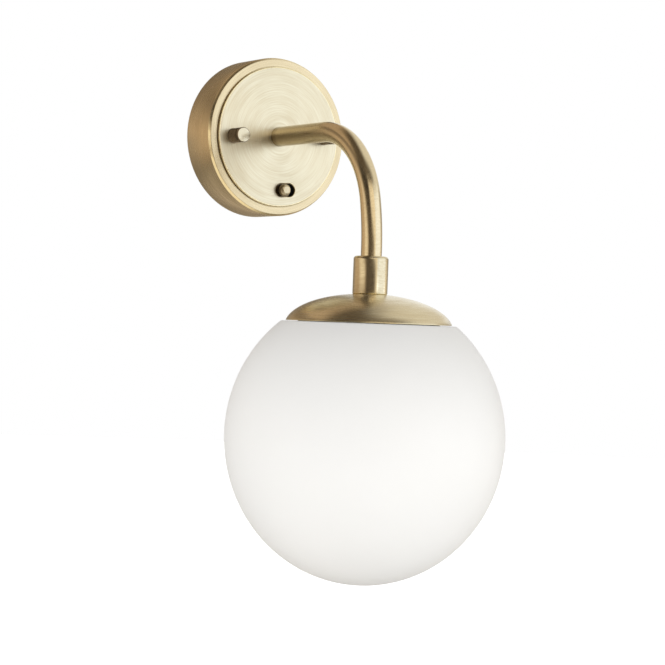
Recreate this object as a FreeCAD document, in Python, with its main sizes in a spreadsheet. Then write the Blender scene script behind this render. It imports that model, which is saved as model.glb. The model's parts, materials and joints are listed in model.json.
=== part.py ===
import FreeCAD, Part
import math
import os
import re

import Sketcher

# Globe wall sconce, in millimetres.
# Origin: middle of the canopy's back, on the wall.  +Z up, +X to the right seen from
# the room, and the room is on the -Y side.
#
# Two frames carry the pieces:
# - the wall frame has X to the right, Y up and Z out of the wall,
# - the lamp frame hangs on the lamp's axis, with height 0 at the top of the cap.

# Driving dimensions: name, value, what it is.
SIZES = [
    # Canopy and face plate
    ("canopy_radius", 48.4, "outside radius of the drum"),
    ("canopy_depth", 27.2, "wall to the front of the drum"),
    ("canopy_wall", 1.2, "spun brass thickness"),
    ("canopy_round", 1.3, "rounding of the front outer edge"),
    ("canopy_lip", 1.4, "width of the lip behind the face plate"),
    ("plate_margin", 5.5, "ring of canopy seen round the face plate"),
    ("plate_thick", 1.8, "face plate thickness"),
    ("plate_chamfer", 0.4, "chamfer on the face plate's front edge"),
    ("plate_rebate", 0.6, "shadow groove behind the face plate's edge"),
    ("face_turn", 3.5, "degrees that bracket, nuts and switch sit off level"),
    # Wall bracket
    ("bracket_length", 84.0, "end to end"),
    ("bracket_width", 22.0, "width of the strip"),
    ("bracket_thick", 2.0, "steel thickness"),
    ("bracket_round", 4.0, "corner rounding"),
    ("cable_hole_radius", 6.0, "entry for the supply cable"),
    ("wall_screw_circle", 44.0, "circle through the two wall screw holes"),
    ("wall_screw_radius", 2.3, "wall screw hole"),
    ("tab_width", 20.0, "tab behind the terminal block"),
    # Studs and nuts
    ("stud_spacing", 64.8, "between the two stud axes"),
    ("stud_radius", 2.0, "M4 stud"),
    ("stud_grip", 8.0, "length of stud inside a knurled nut"),
    ("stud_hole_gap", 0.3, "free play of a stud in the face plate"),
    ("small_nut_flats", 7.0, "M4 nut across flats"),
    ("small_nut_height", 3.2, "M4 nut height"),
    ("nut_radius", 4.55, "knurled nut"),
    ("nut_length", 11.6, "knurled nut, end to end"),
    ("nut_end_wall", 2.6, "closed end of the knurled nut"),
    ("nut_chamfer", 0.45, "chamfer of the knurled nut"),
    ("nut_rim", 1.7, "plain rim at the nut's front"),
    ("nut_groove_width", 0.7, "groove between knurl and rim"),
    ("nut_groove_depth", 0.4, "depth of that groove"),
    ("knurl_count", 28, "knurl grooves round a nut"),
    ("knurl_depth", 0.3, "depth of the knurl"),
    ("thread_gap", 0.06, "radial clearance of a running thread"),
    ("seat_gap", 0.1, "between a knurled nut and the face plate"),
    # Terminal block and earth
    ("block_length", 30.0, "across the three ways"),
    ("block_height", 14.0, "along the wires"),
    ("block_depth", 12.0, "out from the bracket"),
    ("block_clear", 1.0, "between the strip's edge and the block"),
    ("way_pitch", 10.0, "between two ways"),
    ("way_hole_radius", 1.5, "supply wire hole of one way"),
    ("wire_entry", 1.4, "depth to which a wire enters the block"),
    ("terminal_screw_radius", 1.8, "clamping screw"),
    ("terminal_screw_pitch", 7.0, "between the two screws of a way"),
    ("terminal_screw_length", 4.0, "clamping screw length"),
    ("terminal_well_depth", 5.0, "depth of a screw well"),
    ("block_screw_radius", 1.4, "screw that holds the block"),
    ("block_screw_head", 2.3, "head radius of that screw"),
    ("screw_head_height", 1.6, "head height of that screw"),
    ("driver_slot", 0.7, "width and depth of a driver slot"),
    ("earth_drop", 5.0, "earth screw below the middle"),
    ("earth_screw_radius", 1.9, "earth screw"),
    ("earth_head_radius", 3.4, "earth screw head"),
    ("tag_radius", 3.7, "ring tag under the earth screw"),
    ("tag_thick", 0.8, "ring tag thickness"),
    ("tag_length", 5.5, "tag from screw to the wire"),
    ("earth_wire_radius", 1.2, "earth wire"),
    ("earth_bend", 6.0, "bend radius of the earth wire"),
    ("earth_lean", 35.0, "degrees that the earth wire leans out"),
    # Switch
    ("switch_side", 3.8, "slot centre to the right of the middle"),
    ("switch_drop", 32.6, "slot centre below the middle"),
    ("slot_length", 13.7, "slot end to end"),
    ("slot_width", 8.1, "slot width"),
    ("lever_radius", 3.65, "round switch knob"),
    ("lever_reach", 4.5, "knob in front of the face plate"),
    ("lever_travel", 3.6, "slide of the knob"),
    ("lever_chamfer", 0.7, "chamfer on the knob's end"),
    ("slider_length", 11.2, "foot under the knob"),
    ("slider_width", 9.2, "foot under the knob"),
    ("slider_thick", 2.4, "foot under the knob"),
    ("slide_gap", 0.3, "free play round the slider"),
    ("switch_length", 21.0, "switch body"),
    ("switch_width", 11.2, "switch body"),
    ("switch_depth", 10.0, "switch body behind the face plate"),
    ("strap_thick", 0.8, "strap that holds the switch"),
    ("strap_width", 4.0, "strap that holds the switch"),
    ("strap_foot", 3.0, "foot of the strap on the face plate"),
    ("strap_low", 1.0, "strap below the switch's middle"),
    ("blade_pitch", 15.0, "between the two blades"),
    ("blade_width", 4.0, "switch blade"),
    ("blade_thick", 0.8, "switch blade"),
    ("blade_length", 3.5, "switch blade"),
    ("blade_high", 3.0, "blades above the switch's middle"),
    ("switch_wire_radius", 0.9, "switch wire"),
    ("switch_wire_bend", 5.0, "bend radius of a switch wire"),
    # Arm
    ("arm_radius", 6.0, "outside of the tube"),
    ("arm_wall", 1.0, "tube wall"),
    ("arm_run", 49.6, "straight length in front of the face plate"),
    ("bend_radius", 52.0, "main bend of the arm"),
    ("bend_turn", 78.0, "degrees of the main bend"),
    ("easing_radius", 140.0, "gentler end of the bend"),
    ("arm_tail", 3.6, "straight length above the collar"),
    ("arm_socket", 12.0, "length of tube inside the collar"),
    ("fit_gap", 0.05, "radial fit of fixed parts"),
    ("ferrule_bore", 3.4, "bore of the threaded tubes"),
    ("ferrule_grip", 18.0, "threaded tube inside the arm"),
    ("ferrule_spare", 3.0, "threaded tube beyond its nut"),
    ("washer_radius", 9.0, "arm washer"),
    ("washer_thick", 1.2, "arm washer"),
    ("big_nut_flats", 14.0, "M10 nut across flats"),
    ("arm_nut_height", 4.0, "nut behind the face plate"),
    ("flex_radius", 2.6, "two-core flex in the arm"),
    ("flex_bend", 9.0, "bend of the flex behind the arm"),
    ("flex_end_gap", 0.2, "wire end to the bottom of its hole"),
    # Collar and cap
    ("collar_radius", 10.0, "collar"),
    ("collar_height", 21.8, "collar"),
    ("collar_round", 1.8, "rounded top edge of the collar"),
    ("collar_chamfer", 0.6, "chamfered bottom edge of the collar"),
    ("cap_semi_width", 48.0, "half width of the cap's ellipse"),
    ("cap_semi_height", 19.5, "half height of the cap's ellipse"),
    ("cap_crown_cut", 0.4, "flat cut on top for the collar"),
    ("cap_drop", 16.2, "top of the cap to its rim"),
    ("cap_wall", 1.2, "spun brass thickness"),
    # Clips
    ("clip_plate_radius", 10.0, "middle of the clip plate"),
    ("clip_plate_thick", 1.0, "clip plate"),
    ("clip_arm_width", 10.0, "arm of the clip plate"),
    ("clip_count", 3, "springs round the neck"),
    ("clip_gap", 0.3, "spring to the glass neck"),
    ("plate_headroom", 0.45, "clip plate to the cap"),
    ("clip_nut_height", 3.0, "nut below the clip plate"),
    ("spring_width", 8.0, "leaf spring"),
    ("spring_thick", 0.6, "leaf spring"),
    ("spring_drop", 12.0, "leaf spring below the clip plate"),
    ("spring_foot", 9.0, "flat foot of the leaf spring"),
    ("rivet_radius", 1.5, "rivet through foot and plate"),
    ("rivet_head_radius", 2.4, "rivet head"),
    ("rivet_head_height", 0.7, "rivet head"),
    # Lampholder
    ("holder_gap", 0.2, "clip nut to the lampholder"),
    ("holder_radius", 13.0, "lampholder"),
    ("holder_shoulder", 4.0, "sloping top of the lampholder's cap"),
    ("holder_cap_height", 13.5, "lampholder cap"),
    ("holder_grip", 6.5, "threaded length in the lampholder cap"),
    ("holder_wall", 1.8, "lampholder wall"),
    ("holder_floor_thick", 6.0, "floor between wires and lamp"),
    ("holder_body_height", 27.0, "lampholder body"),
    ("socket_gap", 0.35, "free play of the lamp's base"),
    ("socket_wall", 0.6, "threaded metal shell of the lampholder"),
    ("spring_contact_radius", 2.5, "centre contact"),
    ("spring_contact_height", 2.0, "centre contact"),
    # Bulb
    ("bulb_radius", 22.5, "golf ball bulb"),
    ("bulb_length", 78.0, "contact to tip"),
    ("bulb_wall", 1.0, "bulb glass"),
    ("base_radius", 7.0, "E14 shell"),
    ("base_length", 15.0, "E14 shell"),
    ("insulator_height", 1.6, "glass bead in the base"),
    ("tip_contact_radius", 2.2, "base contact"),
    ("tip_contact_height", 0.8, "base contact"),
    # Globe
    ("globe_semi_width", 80.0, "half width of the globe"),
    ("globe_semi_height", 83.7, "half height of the globe"),
    ("globe_drop", 65.3, "shoulder of the glass to its middle"),
    ("glass_wall", 3.0, "opal glass thickness"),
    ("shoulder_round", 2.2, "rounded shoulder of the glass"),
    ("neck_inset", 6.2, "neck inside the cap's rim"),
    ("neck_headroom", 1.9, "neck to the inside of the cap"),
    ("neck_root", 1.0, "neck sunk into the shoulder"),
    ("rim_gap", 0.3, "cap's rim to the glass"),
]

# Places worked out from the driving dimensions: name and formula.
WORKED = [
    ("plate_radius", "canopy_radius - plate_margin"),
    ("plate_front", "canopy_depth + plate_thick"),
    ("stud_side", "stud_spacing / 2"),
    ("stud_length", "plate_front + stud_grip"),
    ("nut_knurl", "nut_length - nut_rim - nut_groove_width"),
    ("nut_bore", "stud_radius + thread_gap"),
    ("block_bottom", "bracket_width / 2 + block_clear"),
    ("block_middle", "block_bottom + block_height / 2"),
    ("block_front", "bracket_thick + block_depth"),
    ("way_out", "bracket_thick + block_depth / 2"),
    ("wire_end", "block_bottom + wire_entry - flex_end_gap"),
    ("earth_side", "0 - way_pitch"),
    ("switch_wire_left", "switch_side - blade_pitch / 2"),
    ("switch_wire_right", "switch_side + blade_pitch / 2"),
    ("flex_side", "wire_end * sin(face_turn)"),
    ("tab_top", "block_bottom + block_height + block_clear"),
    ("slider_back", "slide_gap + slider_thick"),
    ("channel_half", "(lever_travel + slider_length) / 2 + slide_gap"),
    ("reach", "plate_front + arm_run + bend_radius * sin(bend_turn)"
              " + easing_radius * (1 - sin(bend_turn))"),
    ("bend_fall", "bend_radius * (1 - cos(bend_turn)) + easing_radius * cos(bend_turn)"),
    ("thread_radius", "arm_radius - arm_wall - fit_gap"),
    ("ferrule_back", "canopy_depth - washer_thick - arm_nut_height - ferrule_spare"),
    ("cap_top", "0 - bend_fall - arm_tail - collar_height"),
    ("cap_centre", "cap_crown_cut - cap_semi_height"),
    ("cap_inner_width", "cap_semi_width - cap_wall"),
    ("cap_inner_height", "cap_semi_height - cap_wall"),
    ("cap_rim_inner",
     "cap_inner_width * sqrt(1 - ((cap_drop + cap_centre) / cap_inner_height) ^ 2)"),
    ("neck_radius", "cap_rim_inner - neck_inset"),
    ("neck_bore", "neck_radius - glass_wall"),
    ("neck_top",
     "cap_centre + cap_inner_height * sqrt(1 - (neck_radius / cap_inner_width) ^ 2)"
     " - neck_headroom"),
    ("shoulder", "0 - cap_drop - rim_gap"),
    ("globe_middle", "shoulder - globe_drop"),
    ("spring_face", "sqrt((neck_bore - clip_gap) ^ 2 - (spring_width / 2) ^ 2)"),
    ("clip_tip", "sqrt(spring_face ^ 2 + (clip_arm_width / 2) ^ 2)"),
    ("clip_top",
     "cap_centre + cap_inner_height * sqrt(1 - (clip_tip / cap_inner_width) ^ 2)"
     " - plate_headroom"),
    ("clip_bottom", "clip_top - clip_plate_thick"),
    ("rivet_side", "spring_face - spring_foot / 2"),
    ("holder_top", "clip_bottom - clip_nut_height - holder_gap"),
    ("nipple_end", "holder_top - holder_grip"),
    ("holder_joint", "holder_top - holder_cap_height"),
    ("holder_floor", "holder_joint - holder_floor_thick"),
    ("holder_mouth", "holder_joint - holder_body_height"),
    ("socket_radius", "base_radius + socket_gap"),
    ("socket_outside", "socket_radius + socket_wall"),
    ("bulb_top", "holder_floor - spring_contact_height - slide_gap"),
    ("insulator_top", "bulb_top - tip_contact_height"),
    ("base_top", "insulator_top - insulator_height"),
    ("base_bottom", "base_top - base_length"),
    ("bulb_middle", "bulb_top - bulb_length + bulb_radius"),
    ("bulb_neck", "base_bottom - bulb_middle"),
    ("bulb_taper", "asin(bulb_radius / sqrt(bulb_neck ^ 2 + base_radius ^ 2))"
                   " - atan(base_radius / bulb_neck)"),
    ("bulb_hollow", "bulb_radius - bulb_wall"),
]

doc = FreeCAD.newDocument("globe_wall_sconce")
sizes = doc.addObject("Spreadsheet::Sheet", "sizes")
worked = doc.addObject("Spreadsheet::Sheet", "worked")
DRIVING = {name for name, number, meaning in SIZES}
DERIVED = {name for name, formula in WORKED}


def bound(text):
    """The formula with each name written as its sheet's cell."""
    def cell(match):
        word = match.group(0)
        if word in DRIVING:
            return "sizes." + word
        if word in DERIVED:
            return "worked." + word
        return word
    return re.sub(r"[a-z_]+", cell, text)


def value(text):
    """The formula's present value, as a plain number."""
    result = worked.evalExpression(bound(text))
    return float(getattr(result, "Value", result))


def fill_sheets():
    for row, (name, number, meaning) in enumerate(SIZES, 1):
        sizes.set(f"A{row}", meaning)
        sizes.set(f"B{row}", str(number))
        sizes.setAlias(f"B{row}", name)
    for row, (name, formula) in enumerate(WORKED, 1):
        worked.set(f"A{row}", name.replace("_", " "))
        worked.set(f"B{row}", "=" + bound(formula))
        worked.setAlias(f"B{row}", name)
    doc.recompute()


# ---------------------------------------------------------------- solids and booleans

def shape_object(kind, name, at, **fields):
    """A Part primitive whose fields and corner are formulas."""
    item = doc.addObject("Part::" + kind, name)
    for field, text in fields.items():
        item.setExpression(field, bound(text))
    for axis, text in zip("xyz", at):
        item.setExpression(".Placement.Base." + axis, bound(text))
    return item


def rod(name, radius, low, high, at=("0", "0")):
    """A cylinder along Z, from one height to another."""
    return shape_object("Cylinder", name, (at[0], at[1], low),
                        Radius=radius, Height=f"({high}) - ({low})")


def bar(name, x_range, y_range, z_range):
    """A box from low to high along each axis."""
    lows, highs = zip(x_range, y_range, z_range)
    spans = [f"({high}) - ({low})" for low, high in zip(lows, highs)]
    return shape_object("Box", name, lows, Length=spans[0], Width=spans[1], Height=spans[2])


def hexagon(name, flats, low, high, at=("0", "0")):
    """A hexagon bar along Z, given across its flats."""
    item = shape_object("Prism", name, (at[0], at[1], low),
                        Circumradius=f"({flats}) / sqrt(3)", Height=f"({high}) - ({low})")
    item.Polygon = 6
    return item


def ellipsoid(name, semi_width, semi_height, middle):
    """An ellipsoid round the Z axis."""
    return shape_object("Ellipsoid", name, ("0", "0", middle),
                        Radius1=semi_height, Radius2=semi_width, Radius3=semi_width)


def fuse(name, *parts):
    item = doc.addObject("Part::MultiFuse", name)
    item.Shapes = list(parts)
    return item


def common(name, *parts):
    item = doc.addObject("Part::MultiCommon", name)
    item.Shapes = list(parts)
    return item


def cut(name, base, *tools):
    item = doc.addObject("Part::Cut", name)
    item.Base = base
    item.Tool = tools[0] if len(tools) == 1 else fuse(name + "_tools", *tools)
    return item


def group(name, *solids):
    """Like pieces that share one node."""
    item = doc.addObject("Part::Compound", name)
    item.Links = list(solids)
    return item


# ---------------------------------------------------------------- sketches and bodies

def origin_part(body, role):
    return [part for part in body.Origin.OriginFeatures if part.Role == role][0]


def sketch_on(body, role, name):
    sketch = body.newObject("Sketcher::SketchObject", name)
    sketch.AttachmentSupport = [(origin_part(body, role), "")]
    sketch.MapMode = "FlatFace"
    return sketch


def fix_point(sketch, line, across, up):
    """Hold the start point of a line at two formulas."""
    for kind, text in (("DistanceX", across), ("DistanceY", up)):
        number = value(text)
        index = sketch.addConstraint(Sketcher.Constraint(kind, -1, 1, line, 1, number))
        sketch.setExpression(f"Constraints[{index}]", bound(text))


def polygon(sketch, corners):
    """A closed outline through corners given as pairs of formulas."""
    points = [FreeCAD.Vector(value(across), value(up), 0) for across, up in corners]
    count = len(corners)
    lines = [Part.LineSegment(points[i], points[(i + 1) % count]) for i in range(count)]
    first = sketch.addGeometry(lines, False)[0]
    for i in range(count):
        following = first + (i + 1) % count
        sketch.addConstraint(Sketcher.Constraint("Coincident", first + i, 2, following, 1))
    for i, (across, up) in enumerate(corners):
        fix_point(sketch, first + i, across, up)


def circles(sketch, rings):
    """Circles given as (across, up, radius) formulas."""
    for across, up, radius in rings:
        centre = FreeCAD.Vector(value(across), value(up), 0)
        ring = Part.Circle(centre, FreeCAD.Vector(0, 0, 1), value(radius))
        index = sketch.addGeometry(ring, False)
        for kind, text in (("DistanceX", across), ("DistanceY", up)):
            place = sketch.addConstraint(
                Sketcher.Constraint(kind, -1, 1, index, 3, value(text)))
            sketch.setExpression(f"Constraints[{place}]", bound(text))
        size = sketch.addConstraint(Sketcher.Constraint("Radius", index, value(radius)))
        sketch.setExpression(f"Constraints[{size}]", bound(radius))


def turned(name, corners):
    """A body turned about Z from an outline of (radius, height) corners."""
    body = doc.addObject("PartDesign::Body", name)
    outline = sketch_on(body, "XZ_Plane", name + "_outline")
    polygon(outline, corners)
    spin = body.newObject("PartDesign::Revolution", name + "_spin")
    spin.Profile = outline
    spin.ReferenceAxis = (outline, ["V_Axis"])
    spin.Angle = 360
    body.Tip = spin
    doc.recompute()
    return body


def ring_edge(shape, radius, height):
    """Name of the circular edge with this radius and height."""
    for index, edge in enumerate(shape.Edges, 1):
        curve = edge.Curve
        if not isinstance(curve, Part.Circle):
            continue
        if abs(curve.Radius - radius) < 1e-3 and abs(curve.Center.z - height) < 1e-3:
            return f"Edge{index}"
    raise ValueError(f"no edge of radius {radius} at height {height}")


def soften(body, kind, size, radius, height):
    """Fillet or chamfer the ring edge at a radius and height."""
    base = body.Tip
    edge = ring_edge(base.Shape, value(radius), value(height))
    feature = body.newObject("PartDesign::" + kind, f"{body.Name}_{kind.lower()}")
    feature.Base = (base, [edge])
    feature.setExpression("Radius" if kind == "Fillet" else "Size", bound(size))
    body.Tip = feature
    doc.recompute()


# ---------------------------------------------------------------- places

def on_wall(item, across="0", up="0", out="0", level=False):
    """Stand a piece in the wall frame; unless level, it turns with the bracket."""
    turn = "0" if level else "face_turn"
    item.Placement = FreeCAD.Placement(FreeCAD.Vector(), wall_rotation(level))
    right = f"({across}) * cos({turn}) - ({up}) * sin({turn})"
    high = f"({across}) * sin({turn}) + ({up}) * cos({turn})"
    for axis, text in (("x", right), ("y", f"0 - ({out})"), ("z", high)):
        item.setExpression(".Placement.Base." + axis, bound(text))
    return item


def wall_rotation(level):
    turn = 0 if level else value("face_turn")
    return FreeCAD.Rotation(0, -turn, 90)


def under_cap(item):
    """Hang a piece in the lamp frame."""
    item.setExpression(".Placement.Base.y", bound("0 - reach"))
    item.setExpression(".Placement.Base.z", bound("cap_top"))
    return item


# ---------------------------------------------------------------- tubes along a route

def route(name, start, heading, steps, side="0", level=True):
    """A sketch in an upright plane square to the wall.

    Its axes are out of the wall and up.  It starts at a point and goes on through
    ("line", length) and ("arc", radius, degrees) steps, where degrees to the left of
    the heading count as positive.
    """
    sketch = doc.addObject("Sketcher::SketchObject", name)
    point = FreeCAD.Vector(value(start[0]), value(start[1]), 0)
    ahead = FreeCAD.Rotation(FreeCAD.Vector(0, 0, 1), heading).multVec(FreeCAD.Vector(1, 0, 0))
    before = None
    for kind, *numbers in steps:
        if kind == "line":
            end = point + ahead * value(numbers[0])
            index = sketch.addGeometry(Part.LineSegment(point, end), False)
            joint = 2
        else:
            radius = value(numbers[0])
            degrees = value(numbers[1])
            sign = 1 if degrees > 0 else -1
            left = FreeCAD.Vector(-ahead.y, ahead.x, 0) * sign
            centre = point + left * radius
            turn = FreeCAD.Rotation(FreeCAD.Vector(0, 0, 1), degrees)
            half = FreeCAD.Rotation(FreeCAD.Vector(0, 0, 1), degrees / 2)
            middle = centre + half.multVec(point - centre)
            end = centre + turn.multVec(point - centre)
            ahead = turn.multVec(ahead)
            index = sketch.addGeometry(Part.Arc(point, middle, end), False)
            joint = 2 if sign > 0 else 1
        first = 1 if kind == "line" or joint == 2 else 2
        if before is None:
            fix_point(sketch, index, *start)
        else:
            sketch.addConstraint(Sketcher.Constraint("Tangent", *before, index, first))
        if kind == "line":
            size = sketch.addConstraint(Sketcher.Constraint("Distance", index, value(numbers[0])))
            sketch.setExpression(f"Constraints[{size}]", bound(numbers[0]))
        else:
            size = sketch.addConstraint(Sketcher.Constraint("Radius", index, radius))
            sketch.setExpression(f"Constraints[{size}]", bound(numbers[0]))
        before = (index, joint)
        point = end
    stand_route(sketch, side, level)
    return sketch


def stand_route(sketch, side, level):
    """Turn the sketch's axes out of the wall and up, at a distance to the right."""
    upright = FreeCAD.Rotation(FreeCAD.Vector(0, 0, 1), FreeCAD.Vector(0, 1, 0),
                               FreeCAD.Vector(-1, 0, 0), "XYZ")
    sketch.Placement = FreeCAD.Placement(
        wall_rotation(level).multVec(FreeCAD.Vector(value(side), 0, 0)),
        wall_rotation(level) * upright)


def sweep(name, path, radius):
    """A round bar along a route."""
    doc.recompute()
    edges = path.Shape.Edges
    start = edges[0].valueAt(edges[0].FirstParameter)
    ahead = edges[0].tangentAt(edges[0].FirstParameter)
    circle = doc.addObject("Part::Circle", name + "_section")
    circle.setExpression("Radius", bound(radius))
    circle.Placement = FreeCAD.Placement(
        start, FreeCAD.Rotation(FreeCAD.Vector(0, 0, 1), ahead))
    item = doc.addObject("Part::Sweep", name)
    item.Sections = [circle]
    item.Spine = (path, [f"Edge{i}" for i in range(1, len(edges) + 1)])
    item.Solid = True
    item.Frenet = False
    return item


# ---------------------------------------------------------------- wall bracket and studs

def wall_bracket():
    """Strip on the wall with a tab for the terminal block."""
    body = doc.addObject("PartDesign::Body", "wall_bracket")
    outline = sketch_on(body, "XY_Plane", "bracket_outline")
    end = "bracket_length / 2"
    edge = "bracket_width / 2"
    tab = "tab_width / 2"
    polygon(outline, [("0 - " + end, "0 - " + edge), (end, "0 - " + edge), (end, edge),
                      (tab, edge), (tab, "tab_top"), ("0 - " + tab, "tab_top"),
                      ("0 - " + tab, edge), ("0 - " + end, edge)])
    screw = "wall_screw_circle / 2"
    holes = [("0", "0", "cable_hole_radius"),
             ("0 - " + screw, "0", "wall_screw_radius"),
             (screw, "0", "wall_screw_radius"),
             ("0 - stud_side", "0", "stud_radius"),
             ("stud_side", "0", "stud_radius"),
             ("earth_side", "0 - earth_drop", "earth_screw_radius"),
             ("0 - way_pitch / 2", "block_middle", "block_screw_radius"),
             ("way_pitch / 2", "block_middle", "block_screw_radius")]
    circles(outline, holes)
    pad = body.newObject("PartDesign::Pad", "bracket_pad")
    pad.Profile = outline
    pad.setExpression("Length", bound("bracket_thick"))
    body.Tip = pad
    doc.recompute()
    ends = [f"Edge{i}" for i, line in enumerate(pad.Shape.Edges, 1)
            if line.Length > 0 and abs(abs(line.CenterOfMass.x) - value(end)) < 1e-3
            and abs(line.Length - value("bracket_thick")) < 1e-3]
    corners = body.newObject("PartDesign::Fillet", "bracket_corners")
    corners.Base = (pad, ends)
    corners.setExpression("Radius", bound("bracket_round"))
    body.Tip = corners
    return [on_wall(body)]


def cover_studs():
    """Threaded studs that carry the canopy, each locked by a nut on the bracket."""
    studs = []
    nuts = []
    for word, side in (("left", "0 - stud_side"), ("right", "stud_side")):
        at = (side, "0")
        studs.append(rod(f"stud_{word}", "stud_radius", "0", "stud_length", at))
        blank = hexagon(f"stud_nut_{word}_blank", "small_nut_flats", "bracket_thick",
                        "bracket_thick + small_nut_height", at)
        hole = rod(f"stud_nut_{word}_hole", "stud_radius", "bracket_thick - 1",
                   "bracket_thick + small_nut_height + 1", at)
        nuts.append(cut(f"stud_nut_{word}", blank, hole))
    return [on_wall(group("cover_studs", *studs)), on_wall(group("stud_lock_nuts", *nuts))]


def slotted_screw(name, radius, head_radius, low, seat, top, at):
    """A screw with a driver slot across its head."""
    shank = rod(name + "_shank", radius, low, seat, at)
    head = rod(name + "_head", head_radius, seat, top, at)
    half = "driver_slot / 2"
    slot = bar(name + "_slot",
               (f"({at[0]}) - ({head_radius}) - 1", f"({at[0]}) + ({head_radius}) + 1"),
               (f"({at[1]}) - {half}", f"({at[1]}) + {half}"),
               (f"({top}) - driver_slot", f"({top}) + 1"))
    return cut(name, fuse(name + "_blank", shank, head), slot)


def wire_hole(name, across, radius, low, length):
    """Hole along the terminal block's height, at its middle depth."""
    hole = shape_object("Cylinder", name, (across, low, "way_out"),
                        Radius=radius, Height=length)
    hole.Placement.Rotation = FreeCAD.Rotation(FreeCAD.Vector(1, 0, 0), -90)
    return hole


def terminal_block():
    """Three-way block on the bracket's tab, with its clamping and fixing screws."""
    half = "block_length / 2"
    box = bar("block_blank", ("0 - " + half, half),
              ("block_bottom", "block_bottom + block_height"), ("bracket_thick", "block_front"))
    top = "block_bottom + block_height"
    below = "block_bottom - 1"
    entry = "wire_entry + 1"
    holes = [wire_hole("hole_flex", "flex_side", "flex_radius + slide_gap", below, entry),
             wire_hole("hole_earth", "earth_side", "earth_wire_radius + fit_gap", below, entry)]
    for side in ("switch_wire_left", "switch_wire_right"):
        holes.append(wire_hole("hole_" + side, side, "switch_wire_radius + fit_gap",
                               below, entry))
    clamps = []
    for way in (-1, 0, 1):
        across = f"way_pitch * {way}"
        holes.append(wire_hole(f"hole_supply_{way + 2}", across, "way_hole_radius",
                               f"{top} - wire_entry", entry))
        for end in (-1, 1):
            at = (across, f"block_middle + terminal_screw_pitch / 2 * {end}")
            word = f"{way + 2}{'a' if end < 0 else 'b'}"
            holes.append(rod("well_" + word, "terminal_screw_radius + fit_gap",
                             "block_front - terminal_well_depth", "block_front + 1", at))
            low = "block_front - terminal_well_depth"
            top = "block_front - terminal_well_depth + terminal_screw_length"
            clamps.append(slotted_screw("clamp_" + word, "terminal_screw_radius",
                                        "terminal_screw_radius", low, f"({low}) + 1", top, at))
    screws = []
    for word, side in (("left", "0 - way_pitch / 2"), ("right", "way_pitch / 2")):
        at = (side, "block_middle")
        holes.append(rod(f"fixing_hole_{word}", "block_screw_radius + fit_gap",
                         "bracket_thick - 1", "block_front + 1", at))
        screws.append(slotted_screw(f"fixing_{word}", "block_screw_radius", "block_screw_head",
                                    "bracket_thick / 4", "block_front",
                                    "block_front + screw_head_height", at))
    return [on_wall(cut("terminal_block", box, *holes)),
            on_wall(group("terminal_screws", *clamps)),
            on_wall(group("block_screws", *screws))]


def earth_parts():
    """Earth screw in the bracket, its ring tag and the wire up to the block."""
    at = ("earth_side", "0 - earth_drop")
    tag_top = "bracket_thick + tag_thick"
    ring = rod("tag_ring", "tag_radius", "bracket_thick", tag_top, at)
    tongue = bar("tag_tongue",
                 ("earth_side - earth_wire_radius", "earth_side + earth_wire_radius"),
                 ("0 - earth_drop", "0 - earth_drop + tag_length"), ("bracket_thick", tag_top))
    hole = rod("tag_hole", "earth_screw_radius + fit_gap", "bracket_thick - 1",
               tag_top + " + 1", at)
    tag = cut("earth_tag", fuse("tag_blank", ring, tongue), hole)
    screw = slotted_screw("earth_screw", "earth_screw_radius", "earth_head_radius",
                          "bracket_thick / 4", tag_top, tag_top + " + screw_head_height", at)
    # The wire leaves the tag's end, leans out and straightens at the block.
    start = (tag_top + " + earth_wire_radius", "0 - earth_drop + earth_head_radius + 1.5")
    climb = f"way_out - ({start[0]}) - 2 * earth_bend * (1 - cos(earth_lean))"
    slope = f"({climb}) / sin(earth_lean)"
    lead = (f"wire_end - ({start[1]}) - 2 * earth_bend * sin(earth_lean)"
            f" - ({slope}) * cos(earth_lean)")
    path = route("earth_route", start, 90,
                 [("line", f"({lead}) / 2"), ("arc", "earth_bend", "0 - earth_lean"),
                  ("line", slope), ("arc", "earth_bend", "earth_lean"),
                  ("line", f"({lead}) / 2")],
                 side="earth_side", level=False)
    return [on_wall(tag), on_wall(screw), sweep("earth_wire", path, "earth_wire_radius")]


# ---------------------------------------------------------------- canopy, plate and nuts

def canopy():
    """Spun drum with a lip that the face plate lies on."""
    inside = "canopy_radius - canopy_wall"
    mouth = "plate_radius - canopy_lip"
    lip_back = "canopy_depth - canopy_wall"
    body = turned("canopy", [(inside, "0"), ("canopy_radius", "0"),
                             ("canopy_radius", "canopy_depth"), (mouth, "canopy_depth"),
                             (mouth, lip_back), (inside, lip_back)])
    soften(body, "Fillet", "canopy_round", "canopy_radius", "canopy_depth")
    return [on_wall(body, level=True)]


def face_plate():
    """Round plate with holes for the arm and the studs, and the switch's slot."""
    waist = "plate_radius - plate_rebate"
    disc = turned("plate_disc", [("thread_radius + fit_gap", "0"), (waist, "0"),
                                 (waist, "plate_rebate"), ("plate_radius", "plate_rebate"),
                                 ("plate_radius", "plate_thick - plate_chamfer"),
                                 ("plate_radius - plate_chamfer", "plate_thick"),
                                 ("thread_radius + fit_gap", "plate_thick")])
    low = "0 - 1"
    high = "plate_thick + 1"
    holes = [rod(f"plate_hole_{word}", "stud_radius + stud_hole_gap", low, high, (side, "0"))
             for word, side in (("left", "0 - stud_side"), ("right", "stud_side"))]
    straight = "(slot_length - slot_width) / 2"
    ends = [f"switch_side - {straight}", f"switch_side + {straight}"]
    holes += [rod(f"slot_end_{word}", "slot_width / 2", low, high, (side, "0 - switch_drop"))
              for word, side in zip(("left", "right"), ends)]
    holes.append(bar("slot_middle", ends,
                     ("0 - switch_drop - slot_width / 2", "0 - switch_drop + slot_width / 2"),
                     (low, high)))
    return [on_wall(cut("face_plate", disc, *holes), out="canopy_depth")]


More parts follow.
